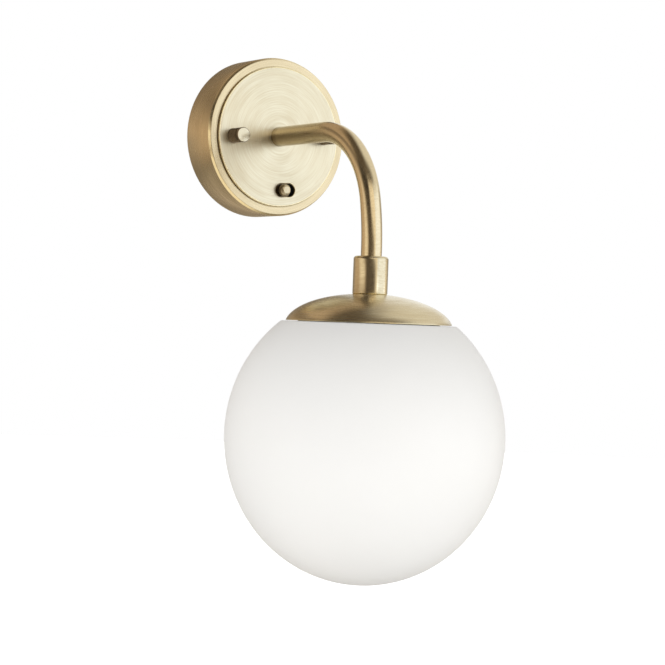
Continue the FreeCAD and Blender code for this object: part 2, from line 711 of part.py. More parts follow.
def knurled_nut(name, side):
    """Blind round nut with a straight knurl, a groove and a plain rim."""
    groove = "nut_radius - nut_groove_depth"
    rim = "nut_knurl + nut_groove_width"
    floor = "nut_length - nut_end_wall"
    body = turned(name, [("nut_bore", "0"), ("nut_radius - nut_chamfer", "0"),
                         ("nut_radius", "nut_chamfer"), ("nut_radius", "nut_knurl"),
                         (groove, "nut_knurl"), (groove, rim), ("nut_radius", rim),
                         ("nut_radius", "nut_length - nut_chamfer"),
                         ("nut_radius - nut_chamfer", "nut_length"), ("0", "nut_length"),
                         ("0", floor), ("nut_bore", floor)])
    smooth_volume = body.Shape.Volume
    notch = sketch_on(body, "XY_Plane", name + "_notch")
    half = "nut_radius * tan(180 / knurl_count)"
    polygon(notch, [("nut_radius - knurl_depth", "0"), ("nut_radius + 1", "0 - " + half),
                    ("nut_radius + 1", half)])
    pocket = body.newObject("PartDesign::Pocket", name + "_groove")
    pocket.Profile = notch
    pocket.Reversed = True
    pocket.setExpression("Length", bound("nut_knurl"))
    pattern = body.newObject("PartDesign::PolarPattern", name + "_knurl")
    pattern.Originals = [pocket]
    pattern.Axis = (origin_part(body, "Z_Axis"), [""])
    pattern.Angle = 360
    pattern.setExpression("Occurrences", bound("knurl_count"))
    body.Tip = pattern
    doc.recompute()
    if body.Shape.Volume >= smooth_volume:
        raise ValueError(name + ": the knurl cuts nothing")
    return on_wall(body, across=side, out="plate_front + seat_gap")


# ---------------------------------------------------------------- switch

def switch_parts():
    """Slide switch behind the slot, its strap, blades, knob and wires."""
    at = {"across": "switch_side", "up": "0 - switch_drop", "out": "canopy_depth"}
    length = "switch_length / 2"
    width = "switch_width / 2"
    back = "0 - switch_depth"
    blank = bar("switch_blank", ("0 - " + length, length), ("0 - " + width, width), (back, "0"))
    run = "(slider_width / 2 + slide_gap)"
    channel = bar("switch_channel", ("0 - channel_half", "channel_half"),
                  ("0 - " + run, run), ("0 - slider_back - slide_gap", "1"))
    body = cut("switch_body", blank, channel)

    # The strap goes round the body's back and stands on the face plate with two feet.
    low = "0 - strap_low - strap_width / 2"
    high = "0 - strap_low + strap_width / 2"
    outer = f"({length} + strap_thick)"
    foot = f"({outer} + strap_foot)"
    strap_back = f"{back} - strap_thick"
    strap = fuse("switch_strap",
                 bar("strap_back_bar", (f"0 - {outer}", outer), (low, high), (strap_back, back)),
                 bar("strap_left", (f"0 - {outer}", f"0 - {length}"), (low, high),
                     (strap_back, "0")),
                 bar("strap_right", (length, outer), (low, high), (strap_back, "0")),
                 bar("strap_left_foot", (f"0 - {foot}", f"0 - {length}"), (low, high),
                     ("0 - strap_thick", "0")),
                 bar("strap_right_foot", (length, foot), (low, high), ("0 - strap_thick", "0")))

    blades = []
    wires = []
    for word, sign in (("left", "0 - 1"), ("right", "1")):
        middle = f"({sign}) * blade_pitch / 2"
        blades.append(bar(f"blade_{word}",
                          (f"{middle} - blade_width / 2", f"{middle} + blade_width / 2"),
                          ("blade_high - blade_thick / 2", "blade_high + blade_thick / 2"),
                          (f"{back} - blade_length", back)))
        # Each wire leaves its blade towards the wall, turns up and ends at the block.
        start = ("canopy_depth - switch_depth - blade_length", "blade_high - switch_drop")
        drop = f"({start[0]}) - switch_wire_bend - way_out"
        climb = f"wire_end - ({start[1]}) - switch_wire_bend"
        path = route(f"switch_route_{word}", start, 180,
                     [("line", drop), ("arc", "switch_wire_bend", "0 - 90"), ("line", climb)],
                     side="switch_wire_" + word, level=False)
        wires.append(sweep(f"switch_wire_{word}", path, "switch_wire_radius"))

    rest = "0 - lever_travel / 2"
    foot_half = "slider_length / 2"
    slider = bar("slider_foot", (f"{rest} - {foot_half}", f"{rest} + {foot_half}"),
                 ("0 - slider_width / 2", "slider_width / 2"),
                 ("0 - slider_back", "0 - slide_gap"))
    tip = "plate_thick + lever_reach"
    knob = turned("lever_knob", [("0", "0 - slider_back"), ("lever_radius", "0 - slider_back"),
                                 ("lever_radius", f"{tip} - lever_chamfer"),
                                 ("lever_radius - lever_chamfer", tip), ("0", tip)])
    knob.setExpression(".Placement.Base.x", bound(rest))
    lever = fuse("switch_lever", slider, knob)
    return [on_wall(body, **at), on_wall(strap, **at), on_wall(lever, **at),
            on_wall(group("switch_blades", *blades), **at), group("switch_wires", *wires)]


# ---------------------------------------------------------------- arm

def arm_steps(before, after):
    """The arm's line from a distance behind the face plate's front to one past the bend."""
    return [("line", f"arm_run + ({before})"), ("arc", "bend_radius", "0 - bend_turn"),
            ("arc", "easing_radius", "bend_turn - 90"), ("line", after)]


def arm_tube():
    """Bent tube from the face plate down into the collar."""
    path = route("arm_route", ("plate_front", "0"), 0,
                 arm_steps("0", "arm_tail + arm_socket"))
    outside = sweep("arm_outside", path, "arm_radius")
    hollow = sweep("arm_hollow", path, "arm_radius - arm_wall")
    return [cut("arm_tube", outside, hollow)]


def arm_fixing():
    """Threaded tube in the arm's end, with the washer and nut behind the face plate."""
    ferrule = cut("arm_ferrule",
                  rod("ferrule_blank", "thread_radius", "ferrule_back",
                      "plate_front + ferrule_grip"),
                  rod("ferrule_hole", "ferrule_bore", "ferrule_back - 1",
                      "plate_front + ferrule_grip + 1"))
    washer_back = "canopy_depth - washer_thick"
    washer = cut("arm_washer",
                 rod("washer_blank", "washer_radius", washer_back, "canopy_depth"),
                 rod("washer_hole", "thread_radius + fit_gap", washer_back + " - 1",
                     "canopy_depth + 1"))
    nut_back = f"{washer_back} - arm_nut_height"
    nut = cut("arm_lock_nut",
              hexagon("arm_nut_blank", "big_nut_flats", nut_back, washer_back),
              rod("arm_nut_hole", "thread_radius", nut_back + " - 1", washer_back + " + 1"))
    return [on_wall(item, level=True) for item in (ferrule, washer, nut)]


def lamp_flex():
    """Flex from the terminal block through the arm into the lampholder's cap."""
    start = ("way_out", "wire_end")
    lead = "wire_end - flex_bend"
    inner_run = "plate_front - way_out - flex_bend"
    depth = "arm_tail + collar_height - nipple_end + 1"
    path = route("flex_route", start, 270,
                 [("line", lead), ("arc", "flex_bend", "90")] + arm_steps(inner_run, depth))
    return [sweep("lamp_flex", path, "flex_radius")]


# ---------------------------------------------------------------- collar and cap

def collar():
    """Turned coupler: the arm goes in from above, the nipple from below."""
    shelf = "collar_height - arm_socket"
    body = turned("collar", [("thread_radius + fit_gap", "0"),
                             ("collar_radius - collar_chamfer", "0"),
                             ("collar_radius", "collar_chamfer"),
                             ("collar_radius", "collar_height"),
                             ("arm_radius + fit_gap", "collar_height"),
                             ("arm_radius + fit_gap", shelf), ("thread_radius + fit_gap", shelf)])
    soften(body, "Fillet", "collar_round", "collar_radius", "collar_height")
    return [under_cap(body)]


def threaded_nipple():
    """Threaded tube that holds collar, cap, clip plate and lampholder together."""
    high = "collar_height - arm_socket - slide_gap"
    return [under_cap(cut("threaded_nipple",
                          rod("nipple_blank", "thread_radius", "nipple_end", high),
                          rod("nipple_hole", "ferrule_bore", "nipple_end - 1", high + " + 1")))]


def cap():
    """Spun dome over the globe's neck: an ellipsoid shell, flat on top, open below."""
    wide = "cap_semi_width + 1"
    outside = common("cap_outside",
                     ellipsoid("cap_outer_form", "cap_semi_width", "cap_semi_height",
                               "cap_centre"),
                     rod("cap_slab", wide, "0 - cap_drop", "0"))
    hollow = common("cap_hollow",
                    ellipsoid("cap_inner_form", "cap_inner_width", "cap_inner_height",
                              "cap_centre"),
                    rod("cap_inner_slab", wide, "cap_centre - cap_semi_height",
                        "0 - cap_wall"))
    hole = rod("cap_hole", "thread_radius + fit_gap", "0 - cap_drop", "1")
    return [under_cap(cut("cap", outside, hollow, hole))]


def nipple_nut(name, low, high):
    """Hexagon nut on the nipple."""
    return under_cap(cut(name, hexagon(name + "_blank", "big_nut_flats", low, high),
                         rod(name + "_hole", "thread_radius", f"({low}) - 1", f"({high}) + 1")))


def round_axis(name, maker, count):
    """Copies made by maker(word), spread evenly round the lamp's axis."""
    copies = []
    for i in range(count):
        piece = maker(f"{name}_{i + 1}")
        piece.Placement = FreeCAD.Placement(
            FreeCAD.Vector(), FreeCAD.Rotation(FreeCAD.Vector(0, 0, 1), 90 + 360 / count * i))
        copies.append(piece)
    return copies


def clips():
    """Plate with an arm for each leaf spring; the springs bear inside the glass neck."""
    count = int(value("clip_count"))
    half = "spring_width / 2"
    arm_half = "clip_arm_width / 2"

    def plate_arm(word):
        blade = bar(word + "_blade", ("0", "spring_face - spring_thick"),
                    ("0 - " + arm_half, arm_half), ("clip_bottom", "clip_top"))
        return group(word, blade)

    def spring(word):
        foot = bar(word + "_foot", ("spring_face - spring_foot", "spring_face"),
                   ("0 - " + half, half), ("clip_bottom - spring_thick", "clip_bottom"))
        leaf = bar(word + "_leaf", ("spring_face - spring_thick", "spring_face"),
                   ("0 - " + half, half), ("clip_bottom - spring_drop", "clip_bottom"))
        hole = rod(word + "_hole", "rivet_radius", "clip_bottom - 2", "clip_top + 1",
                   ("rivet_side", "0"))
        return cut(word, fuse(word + "_blank", foot, leaf), hole)

    def rivet(word):
        foot_low = "clip_bottom - spring_thick"
        shank = rod(word + "_shank", "rivet_radius", foot_low, "clip_top", ("rivet_side", "0"))
        head = rod(word + "_head", "rivet_head_radius", f"{foot_low} - rivet_head_height",
                   foot_low, ("rivet_side", "0"))
        return fuse(word, shank, head)

    def rivet_hole(word):
        return group(word, rod(word + "_rod", "rivet_radius", "clip_bottom - 1",
                               "clip_top + 1", ("rivet_side", "0")))

    disc = rod("clip_disc", "clip_plate_radius", "clip_bottom", "clip_top")
    hole = rod("clip_hole", "thread_radius + fit_gap", "clip_bottom - 1", "clip_top + 1")
    plate = cut("clip_plate", fuse("clip_star", disc, *round_axis("clip_arm", plate_arm, count)),
                hole, *round_axis("clip_rivet_hole", rivet_hole, count))
    springs = group("spring_clips", *round_axis("spring_clip", spring, count))
    rivets = group("clip_rivets", *round_axis("clip_rivet", rivet, count))
    return [under_cap(item) for item in (plate, springs, rivets)]


# ---------------------------------------------------------------- lampholder and bulb

def lampholder():
    """Cap on the nipple, body with the socket, metal shell and centre contact."""
    inside = "holder_radius - holder_wall"
    ceiling = "holder_top - holder_grip"
    slope = "holder_top - holder_shoulder"
    thread = "thread_radius + fit_gap"
    top = turned("lampholder_cap", [(thread, "holder_top"),
                                    ("holder_radius - holder_shoulder", "holder_top"),
                                    ("holder_radius", slope), ("holder_radius", "holder_joint"),
                                    (inside, "holder_joint"), (inside, ceiling),
                                    (thread, ceiling)])
    bore = "socket_outside + fit_gap"
    body = turned("lampholder_body", [("0", "holder_joint"), ("holder_radius", "holder_joint"),
                                      ("holder_radius", "holder_mouth"), (bore, "holder_mouth"),
                                      (bore, "holder_floor"), ("0", "holder_floor")])
    shell = turned("lampholder_shell", [("socket_radius", "holder_mouth + 1"),
                                        ("socket_outside", "holder_mouth + 1"),
                                        ("socket_outside", "holder_floor"),
                                        ("socket_radius", "holder_floor")])
    contact = turned("lampholder_contact",
                     [("0", "holder_floor"), ("spring_contact_radius", "holder_floor"),
                      ("spring_contact_radius", "holder_floor - spring_contact_height / 2"),
                      ("0", "holder_floor - spring_contact_height")])
    return [under_cap(item) for item in (top, body, shell, contact)]


def bulb():
    """Golf ball bulb: contact, bead, screw shell and a glass ball on a tangent cone."""
    contact = turned("bulb_contact", [("0", "bulb_top"),
                                      ("tip_contact_radius - tip_contact_height / 2", "bulb_top"),
                                      ("tip_contact_radius", "insulator_top"),
                                      ("0", "insulator_top")])
    bead = turned("bulb_insulator", [("0", "insulator_top"),
                                     ("tip_contact_radius + 1", "insulator_top"),
                                     ("base_radius - 1", "base_top"), ("0", "base_top")])
    shell = turned("bulb_base", [("0", "base_top"), ("base_radius - 1", "base_top"),
                                 ("base_radius", "base_top - 1"),
                                 ("base_radius", "base_bottom"), ("0", "base_bottom")])

    def pear(word, radius, neck):
        ball = shape_object("Sphere", word + "_ball", ("0", "0", "bulb_middle"), Radius=radius)
        cone = shape_object("Cone", word + "_cone",
                            ("0", "0", f"bulb_middle + ({radius}) * sin(bulb_taper)"),
                            Radius1=f"({radius}) * cos(bulb_taper)", Radius2=neck,
                            Height=f"bulb_neck - ({radius}) * sin(bulb_taper)")
        return fuse(word, ball, cone)

    glass = cut("bulb_glass", pear("bulb_outside", "bulb_radius", "base_radius"),
                pear("bulb_inside", "bulb_hollow", "base_radius - bulb_wall / cos(bulb_taper)"))
    return [under_cap(item) for item in (contact, bead, shell, glass)]


# ---------------------------------------------------------------- globe

def globe():
    """Opal glass: a slightly tall ellipsoid, a flat shoulder and a short neck."""
    wide = "globe_semi_width + 1"
    low = "globe_middle - globe_semi_height - 1"
    crown = common("globe_form",
                   ellipsoid("globe_outer_form", "globe_semi_width", "globe_semi_height",
                             "globe_middle"),
                   rod("globe_slab", wide, low, "shoulder"))
    doc.recompute()
    edges = [i for i, line in enumerate(crown.Shape.Edges, 1)
             if line.isClosed() and abs(line.BoundBox.ZMin - value("shoulder")) < 0.01
             and abs(line.BoundBox.ZMax - value("shoulder")) < 0.01]
    rounded = doc.addObject("Part::Fillet", "globe_rounded")
    rounded.Base = crown
    rounded.Edges = [(i, value("shoulder_round"), value("shoulder_round")) for i in edges]
    neck = rod("globe_neck", "neck_radius", "shoulder - neck_root", "neck_top")
    hollow = common("globe_hollow",
                    ellipsoid("globe_inner_form", "globe_semi_width - glass_wall",
                              "globe_semi_height - glass_wall", "globe_middle"),
                    rod("globe_inner_slab", wide, low, "shoulder - glass_wall"))
    bore = rod("globe_bore", "neck_bore", "globe_middle", "neck_top + 1")
    return [under_cap(cut("globe", fuse("globe_blank", rounded, neck), hollow, bore))]


# ---------------------------------------------------------------- whole sconce

def build():
    fill_sheets()
    nodes = []
    nodes += wall_bracket()
    nodes += cover_studs()
    nodes += terminal_block()
    nodes += earth_parts()
    nodes += canopy()
    nodes += face_plate()
    nodes += [knurled_nut("knurled_nut_left", "0 - stud_side"),
              knurled_nut("knurled_nut_right", "stud_side")]
    nodes += switch_parts()
    nodes += arm_tube()
    nodes += arm_fixing()
    nodes += lamp_flex()
    nodes += collar()
    nodes += threaded_nipple()
    nodes += cap()
    nodes += [nipple_nut("cap_lock_nut", "clip_top", "0 - cap_wall"),
              nipple_nut("clip_lock_nut", "clip_bottom - clip_nut_height", "clip_bottom")]
    nodes += clips()
    nodes += lampholder()
    nodes += bulb()
    nodes += globe()
    doc.recompute()
    return nodes


def check_sweep(item):
    """A bar along a route holds its section times its length."""
    path, edges = item.Spine
    length = sum(path.Shape.getElement(edge).Length for edge in edges)
    section = math.pi * item.Sections[0].Radius.Value ** 2
    if abs(item.Shape.Volume / (section * length) - 1) > 1e-3:
        raise RuntimeError(item.Label + ": its volume isn't its section times its length")


def check(nodes):
    """Stop if any object failed or any node is not a sound solid."""
    for item in doc.Objects:
        if "Invalid" in item.State or "Error" in item.State:
            raise RuntimeError(f"{item.Label}: {item.State}")
        if item.TypeId == "Part::Sweep":
            check_sweep(item)
    for node in nodes:
        shape = node.Shape
        if shape.isNull() or not shape.isValid() or not shape.Solids:
            raise RuntimeError(node.Label + ": no sound solid")


def export(nodes):
    os.makedirs("parts", exist_ok=True)
    for node in nodes:
        node.Shape.exportStep(f"parts/{node.Label}.step")


sconce = build()
check(sconce)
export(sconce)
print(len(sconce), "nodes", sum(len(node.Shape.Solids) for node in sconce), "solids")
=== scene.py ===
"""Globe wall sconce: the finished look of its pieces, with a camera, a floor and soft light.

Metres, with the middle of the canopy's back at the origin, +Z up and the room on -Y.
"""

import json
from math import asin, atan, atan2, cos, hypot, pi, radians, sin

import bmesh
import bpy
from bpy.props import FloatProperty, FloatVectorProperty, IntProperty, PointerProperty
from mathutils import Euler, Matrix, Vector


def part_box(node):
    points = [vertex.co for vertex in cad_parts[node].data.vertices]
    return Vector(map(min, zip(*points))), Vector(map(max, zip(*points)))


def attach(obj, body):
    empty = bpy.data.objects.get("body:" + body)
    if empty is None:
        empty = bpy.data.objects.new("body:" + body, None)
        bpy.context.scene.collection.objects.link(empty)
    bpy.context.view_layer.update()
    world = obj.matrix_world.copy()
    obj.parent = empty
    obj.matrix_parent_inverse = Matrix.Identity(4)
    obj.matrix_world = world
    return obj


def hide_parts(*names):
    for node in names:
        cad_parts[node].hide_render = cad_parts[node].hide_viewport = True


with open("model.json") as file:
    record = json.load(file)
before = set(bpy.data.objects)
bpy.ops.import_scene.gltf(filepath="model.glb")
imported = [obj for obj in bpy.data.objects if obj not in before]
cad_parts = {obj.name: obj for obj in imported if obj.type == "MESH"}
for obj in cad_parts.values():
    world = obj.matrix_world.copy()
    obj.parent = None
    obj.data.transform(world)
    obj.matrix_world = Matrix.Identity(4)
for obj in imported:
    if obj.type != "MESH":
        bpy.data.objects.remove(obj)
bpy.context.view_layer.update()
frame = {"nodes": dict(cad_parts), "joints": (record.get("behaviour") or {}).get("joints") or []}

bl_info = {
    "name": "Globe wall sconce",
    "version": (1, 0, 0),
    "blender": (4, 5, 0),
    "location": "3D view > Sidebar > Sconce",
    "description": "Builds the finished pieces of a globe wall sconce round its frame",
    "category": "Object",
}

MM = 0.001


# ---------------------------------------------------------------- places read from the frame

def middle(node):
    """The middle of a node's box."""
    low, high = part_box(node)
    return (low + high) / 2


def half(node):
    """Half the size of a node's box."""
    low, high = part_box(node)
    return (high - low) / 2


def on_wall(point):
    """The place on the wall straight behind a point."""
    return Vector((point.x, 0, point.z))


SLIDE = next(each for each in frame["joints"] if each["name"] == "switch_slide")
SLIDE_WAY = Vector(SLIDE["axis"])
SLIDE_TRAVEL = SLIDE["range_m"][1]
WALL_AXIS = Vector((0, 0, 0))
LAMP_AXIS = Vector((0, middle("globe").y, 0))
PLATE_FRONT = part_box("face_plate")[0].y
CANOPY_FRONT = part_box("canopy")[0].y
CAP_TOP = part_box("cap")[1].z
CAP_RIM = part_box("cap")[0].z
COLLAR_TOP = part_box("collar")[1].z
NECK_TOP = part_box("globe")[1].z
GLOBE_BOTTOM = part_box("globe")[0].z
KNOB_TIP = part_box("switch_lever")[0].y
SLIDER_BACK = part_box("switch_lever")[1].y


# ---------------------------------------------------------------- sizes and colours

def length(name, about, default):
    """A length property; its default is in metres."""
    return FloatProperty(name=name, description=about, default=default, min=0,
                         unit="LENGTH", subtype="DISTANCE", precision=5)


def angle(name, about, degrees):
    """An angle property; its default is in degrees."""
    return FloatProperty(name=name, description=about, default=radians(degrees),
                         unit="ROTATION", subtype="ANGLE")


def count(name, about, default):
    """A whole number of repeats."""
    return IntProperty(name=name, description=about, default=default, min=3)


def colour(name, about, red, green, blue):
    """A scene linear colour."""
    return FloatVectorProperty(name=name, description=about, size=4, min=0, max=1,
                               default=(red, green, blue, 1), subtype="COLOR")


class SconceSizes(bpy.types.PropertyGroup):
    """Sizes that shape the finished pieces."""

    around: count("Facets around", "Facets round a large turned piece", 192)
    collar_around: count("Facets around the collar", "Facets round the collar", 128)
    small_around: count("Facets around, small", "Facets round a small turned piece", 96)
    tube_around: count("Facets around the tube", "Facets round the arm and its hole", 64)
    hole_around: count("Facets around a hole", "Facets round a hole for a stud", 32)
    canopy_radius: length("Canopy radius", "Outside of the drum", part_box("canopy")[1].x)
    canopy_wall: length("Canopy wall", "Thickness of the spun drum", 1.2 * MM)
    band_depth: length("Band depth", "Polished band of the drum's front edge", 1.8 * MM)
    band_width: length("Band width", "Polished band, seen from the front", 1.0 * MM)
    band_round: length("Band rounding", "Softened edges of that band", 0.25 * MM)
    canopy_mouth: length("Canopy mouth", "Radius of the opening behind the plate", 41.5 * MM)
    plate_radius: length("Plate radius", "Outside of the face plate", half("face_plate").x)
    plate_rim: length("Plate rim", "Polished band round the plate's front", 0.9 * MM)
    plate_fall: length("Plate fall", "Fall of that band to the edge", 0.14 * MM)
    plate_chamfer: length("Plate chamfer", "Chamfer of the plate's front edge", 0.4 * MM)
    plate_rebate: length("Plate rebate", "Shadow groove behind the plate's edge", 1.25 * MM)
    stud_hole: length("Stud hole", "Radius of the plate's hole for a stud",
                      half("cover_studs").z / 2)
    slot_length: length("Slot length", "Slot of the switch, end to end", 13.7 * MM)
    slot_width: length("Slot width", "Slot of the switch, across", 8.1 * MM)
    slot_edge: length("Slot edge", "Softened edge of the slot", 0.45 * MM)
    nut_chamfer: length("Nut chamfer", "Chamfer of the knurled nuts", 0.45 * MM)
    nut_rim: length("Nut rim", "Plain rim at the front of a nut", 1.7 * MM)
    nut_groove: length("Nut groove", "Groove between knurl and rim", 0.7 * MM)
    nut_groove_depth: length("Nut groove depth", "Depth of that groove", 0.4 * MM)
    nut_bore: length("Nut bore", "Radius of the hole in a nut", 1.7 * MM)
    nut_end: length("Nut end", "Closed end of that hole", 2.6 * MM)
    knurl_depth: length("Knurl depth", "Depth of the diamond knurl", 0.35 * MM)
    knurl_points: count("Knurl points", "Diamonds round a nut", 28)
    knob_radius: length("Knob radius", "Round knob of the switch", 3.65 * MM)
    knob_chamfer: length("Knob chamfer", "Rounded end of the knob", 2.2 * MM)
    slider_length: length("Slider length", "Foot under the knob", 11.2 * MM)
    slider_width: length("Slider width", "Foot under the knob", 9.2 * MM)
    slider_depth: length("Slider depth", "Foot under the knob", 2.4 * MM)
    arm_radius: length("Arm radius", "Outside of the tube", half("arm_tube").x)
    arm_wall: length("Arm wall", "Wall of the tube", 1.0 * MM)
    arm_run: length("Arm run", "Straight length in front of the plate", 49.6 * MM)
    bend_radius: length("Bend radius", "Main bend of the arm", 52 * MM)
    bend_turn: angle("Bend turn", "Angle of the main bend", 78)
    easing_radius: length("Easing radius", "Gentler end of the bend", 140 * MM)
    collar_radius: length("Collar radius", "Turned sleeve over the cap", half("collar").x)
    collar_round: length("Collar rounding", "Rounded top edge of the collar", 1.8 * MM)
    collar_chamfer: length("Collar chamfer", "Chamfered foot of the collar", 0.6 * MM)
    collar_play: length("Collar play", "Gap between the tube and its hole", 0.05 * MM)
    arm_socket: length("Arm socket", "Length of tube inside the collar", 12 * MM)
    nipple_radius: length("Nipple radius", "Hole for the threaded nipple", 5.0 * MM)
    cap_half_width: length("Cap half width", "Half width of the cap's oval", 48 * MM)
    cap_half_height: length("Cap half height", "Half height of the cap's oval", 19.5 * MM)
    cap_crown_cut: length("Cap crown cut", "Flat on the cap under the collar", 0.4 * MM)
    cap_wall: length("Cap wall", "Thickness of the spun cap", 1.2 * MM)
    globe_half_width: length("Globe half width", "Half width of the globe", half("globe").x)
    globe_half_height: length("Globe half height", "Half height of the globe", 83.7 * MM)
    glass_wall: length("Glass wall", "Thickness of the opal glass", 3 * MM)
    neck_radius: length("Neck radius", "Outside of the glass neck", 40.01 * MM)
    shoulder_gap: length("Shoulder gap", "Cap's rim to the glass shoulder", 0.3 * MM)
    shoulder_round: length("Shoulder rounding", "Rounded edge of the shoulder", 0.8 * MM)
    bulb_radius: length("Bulb radius", "Ball of the bulb", half("bulb_glass").x)
    bulb_wall: length("Bulb wall", "Thickness of the bulb's glass", 1 * MM)
    bulb_base_radius: length("Bulb base radius", "Metal base of the bulb", 7 * MM)
    holder_radius: length("Lampholder radius", "Outside of the lampholder",
                          half("lampholder_body").x)
    holder_slope: length("Lampholder slope", "Sloping top of the lampholder", 4 * MM)
    holder_wall: length("Lampholder wall", "Wall of the lampholder", 1.8 * MM)
    holder_head: length("Lampholder head", "Solid top round the nipple", 6.5 * MM)
    holder_bore: length("Lampholder bore", "Bore round the metal shell", 8 * MM)
    holder_floor: length("Lampholder floor", "Floor between wires and lamp", 6 * MM)
    holder_hole: length("Lampholder hole", "Hole in that floor", 1 * MM)
    rib_depth: length("Rib depth", "Grooves round the lampholder", 0.35 * MM)
    rib_start: length("Rib start", "Top groove, above that floor", 1 * MM)
    rib_pitch: length("Rib pitch", "From groove to groove", 3.2 * MM)
    ribs: count("Ribs", "Grooves round the lampholder", 5)


class SconceColours(bpy.types.PropertyGroup):
    """Colours of the finishes, the light and the stage."""

    brass: colour("Brass", "Brushed antique brass, its light strokes", 0.83, 0.775, 0.59)
    brass_rich: colour("Rich brass", "Brass of the drum, its light strokes", 0.86, 0.755, 0.515)
    brass_warm: colour("Warm brass", "Brass of the arm, its light strokes", 0.87, 0.78, 0.56)
    brass_pale: colour("Pale brass", "Brass of the plate and nuts, its light strokes",
                       0.88, 0.845, 0.675)
    brass_deep: colour("Deep brass", "Antique brass between the strokes", 0.66, 0.56, 0.365)
    # The polished edges' lighter colour is a painted highlight.
    edge: colour("Edge", "Edges polished by handling", 0.97, 0.88, 0.60)
    # Painted shade: a dark colour laid on the plate's edge in its groove, on the arm's root and
    # straight run, and on the nut and knob sides.
    patina: colour("Painted_shade", "Darkened groove, arm root, nut and knob sides",
                   0.15, 0.105, 0.065)
    bare_brass: colour("Bare brass", "Contacts and terminal screws", 0.80, 0.60, 0.27)
    zinc: colour("Zinc", "Zinc plated steel", 0.58, 0.60, 0.62)
    zinc_deep: colour("Dull zinc", "Dull patches of the plating", 0.40, 0.42, 0.45)
    spring: colour("Spring steel", "Blued leaf springs", 0.30, 0.31, 0.34)
    black: colour("Black plastic", "Lampholder and switch", 0.018, 0.018, 0.019)
    white: colour("White plastic", "Terminal block", 0.74, 0.73, 0.69)
    sheath: colour("Flex sheath", "Sheath of the lamp's flex", 0.70, 0.69, 0.66)
    brown: colour("Brown sleeve", "Sleeve of the switch wires", 0.12, 0.045, 0.02)
    green: colour("Green stripe", "Earth sleeve", 0.03, 0.20, 0.05)
    yellow: colour("Yellow stripe", "Earth sleeve", 0.75, 0.58, 0.04)
    nickel: colour("Nickel", "Metal base of the bulb", 0.66, 0.64, 0.60)
    opal: colour("Opal glass", "Satin opal glass of the globe", 0.93, 0.925, 0.91)
    bulb: colour("Bulb glass", "Frosted glass of the bulb", 0.86, 0.85, 0.82)
    floor: colour("Floor", "Pale floor", 0.88, 0.88, 0.87)
    front_card: colour("Front card", "Dark part of the cards, round the camera",
                       0.095, 0.068, 0.042)
    warm_card: colour("Warm card", "Brightest part of the cards", 1.0, 0.85, 0.64)
    side_card: colour("Side card", "Left part of the cards", 0.57, 0.41, 0.26)
    back_card: colour("Back card", "Part of the card behind the sconce", 0.29, 0.24, 0.185)
    bright_card: colour("Bright card", "Upper right part of the cards", 0.78, 0.72, 0.62)
    low_card: colour("Low card", "Card underfoot", 0.28, 0.23, 0.17)
    low_bright: colour("Low card, bright", "Bright part of the card underfoot",
                       0.52, 0.42, 0.32)


# ---------------------------------------------------------------- modelling by edit mode

AXIS = {"Y": Vector((0, 1, 0)), "Z": Vector((0, 0, 1))}
FACING = {"Y": (pi / 2, 0, 0), "Z": (0, 0, 0)}
MERGE = 0.002 * MM
NEAR = 0.01 * MM
# Faces that meet at less than so many degrees look smooth.
SMOOTH = 30
SMOOTH_GLASS = 40


def clear_selection():
    """Object mode with nothing selected."""
    if bpy.context.mode != "OBJECT":
        bpy.ops.object.mode_set(mode="OBJECT")
    bpy.ops.object.select_all(action="DESELECT")


def edit_new(name):
    """Names the primitive just added, settles its place in its mesh and opens it."""
    piece = bpy.context.object
    piece.name = name
    piece.data.name = name
    bpy.ops.object.transform_apply(location=True, rotation=True, scale=True)
    bpy.ops.object.mode_set(mode="EDIT")
    bpy.ops.mesh.select_all(action="SELECT")
    return piece


def smooth_faces(degrees):
    """Smooths the faces that meet at less than an angle."""
    bpy.ops.object.shade_smooth_by_angle(angle=radians(degrees))


def close_edit(smooth=SMOOTH, outside=True):
    """Merges doubles, turns the faces outwards, leaves edit mode and smooths the faces."""
    bpy.ops.mesh.select_all(action="SELECT")
    bpy.ops.mesh.remove_doubles(threshold=MERGE)
    if outside:
        bpy.ops.mesh.normals_make_consistent(inside=False)
    bpy.ops.object.mode_set(mode="OBJECT")
    smooth_faces(smooth)


def choose(piece, kind, test):
    """Selects the vertices, edges or faces for which the test holds."""
    bpy.ops.mesh.select_all(action="DESELECT")
    mesh = bmesh.from_edit_mesh(piece.data)
    found = [each for each in getattr(mesh, kind) if test(each)]
    if not found:
        raise ValueError(f"{piece.name}: nothing to select")
    for each in found:
        each.select_set(True)
    if kind == "verts":
        mesh.select_flush(True)
    bmesh.update_edit_mesh(piece.data)


def spot(point, axis, origin):
    """Where a point lies on a turned piece: along the axis, and out from it."""
    along = point.dot(AXIS[axis])
    out = point - origin - AXIS[axis] * (point - origin).dot(AXIS[axis])
    return along, out.length


def from_centre(vertex):
    """How far a vertex of the canopy or the plate is from their common axis."""
    return hypot(vertex.co.x, vertex.co.z)


def choose_rings(piece, axis, origin, rings):
    """Selects the ring edges at each (along, radius) of a turned piece."""
    def on_ring(vertex, ring):
        along, radius = spot(vertex.co, axis, origin)
        return abs(along - ring[0]) < NEAR and abs(radius - ring[1]) < NEAR

    choose(piece, "edges", lambda edge: any(all(on_ring(end, ring) for end in edge.verts)
                                            for ring in rings))


def bevel_rings(piece, axis, origin, rings, width, segments=3, polished=False):
    """Rounds ring edges of a turned piece; polished ones take its second finish, polished brass
    with a painted highlight.
    """
    choose_rings(piece, axis, origin, rings)
    bpy.ops.mesh.bevel(offset=width, segments=segments, affect="EDGES")
    if polished:
        polish_and_highlight(piece)


def polish_and_highlight(piece):
    """Gives the selected faces the second finish of a piece: polished, and lighter as a painted
    highlight.
    """
    mesh = bmesh.from_edit_mesh(piece.data)
    for face in mesh.faces:
        if face.select:
            face.material_index = 1
    bmesh.update_edit_mesh(piece.data)


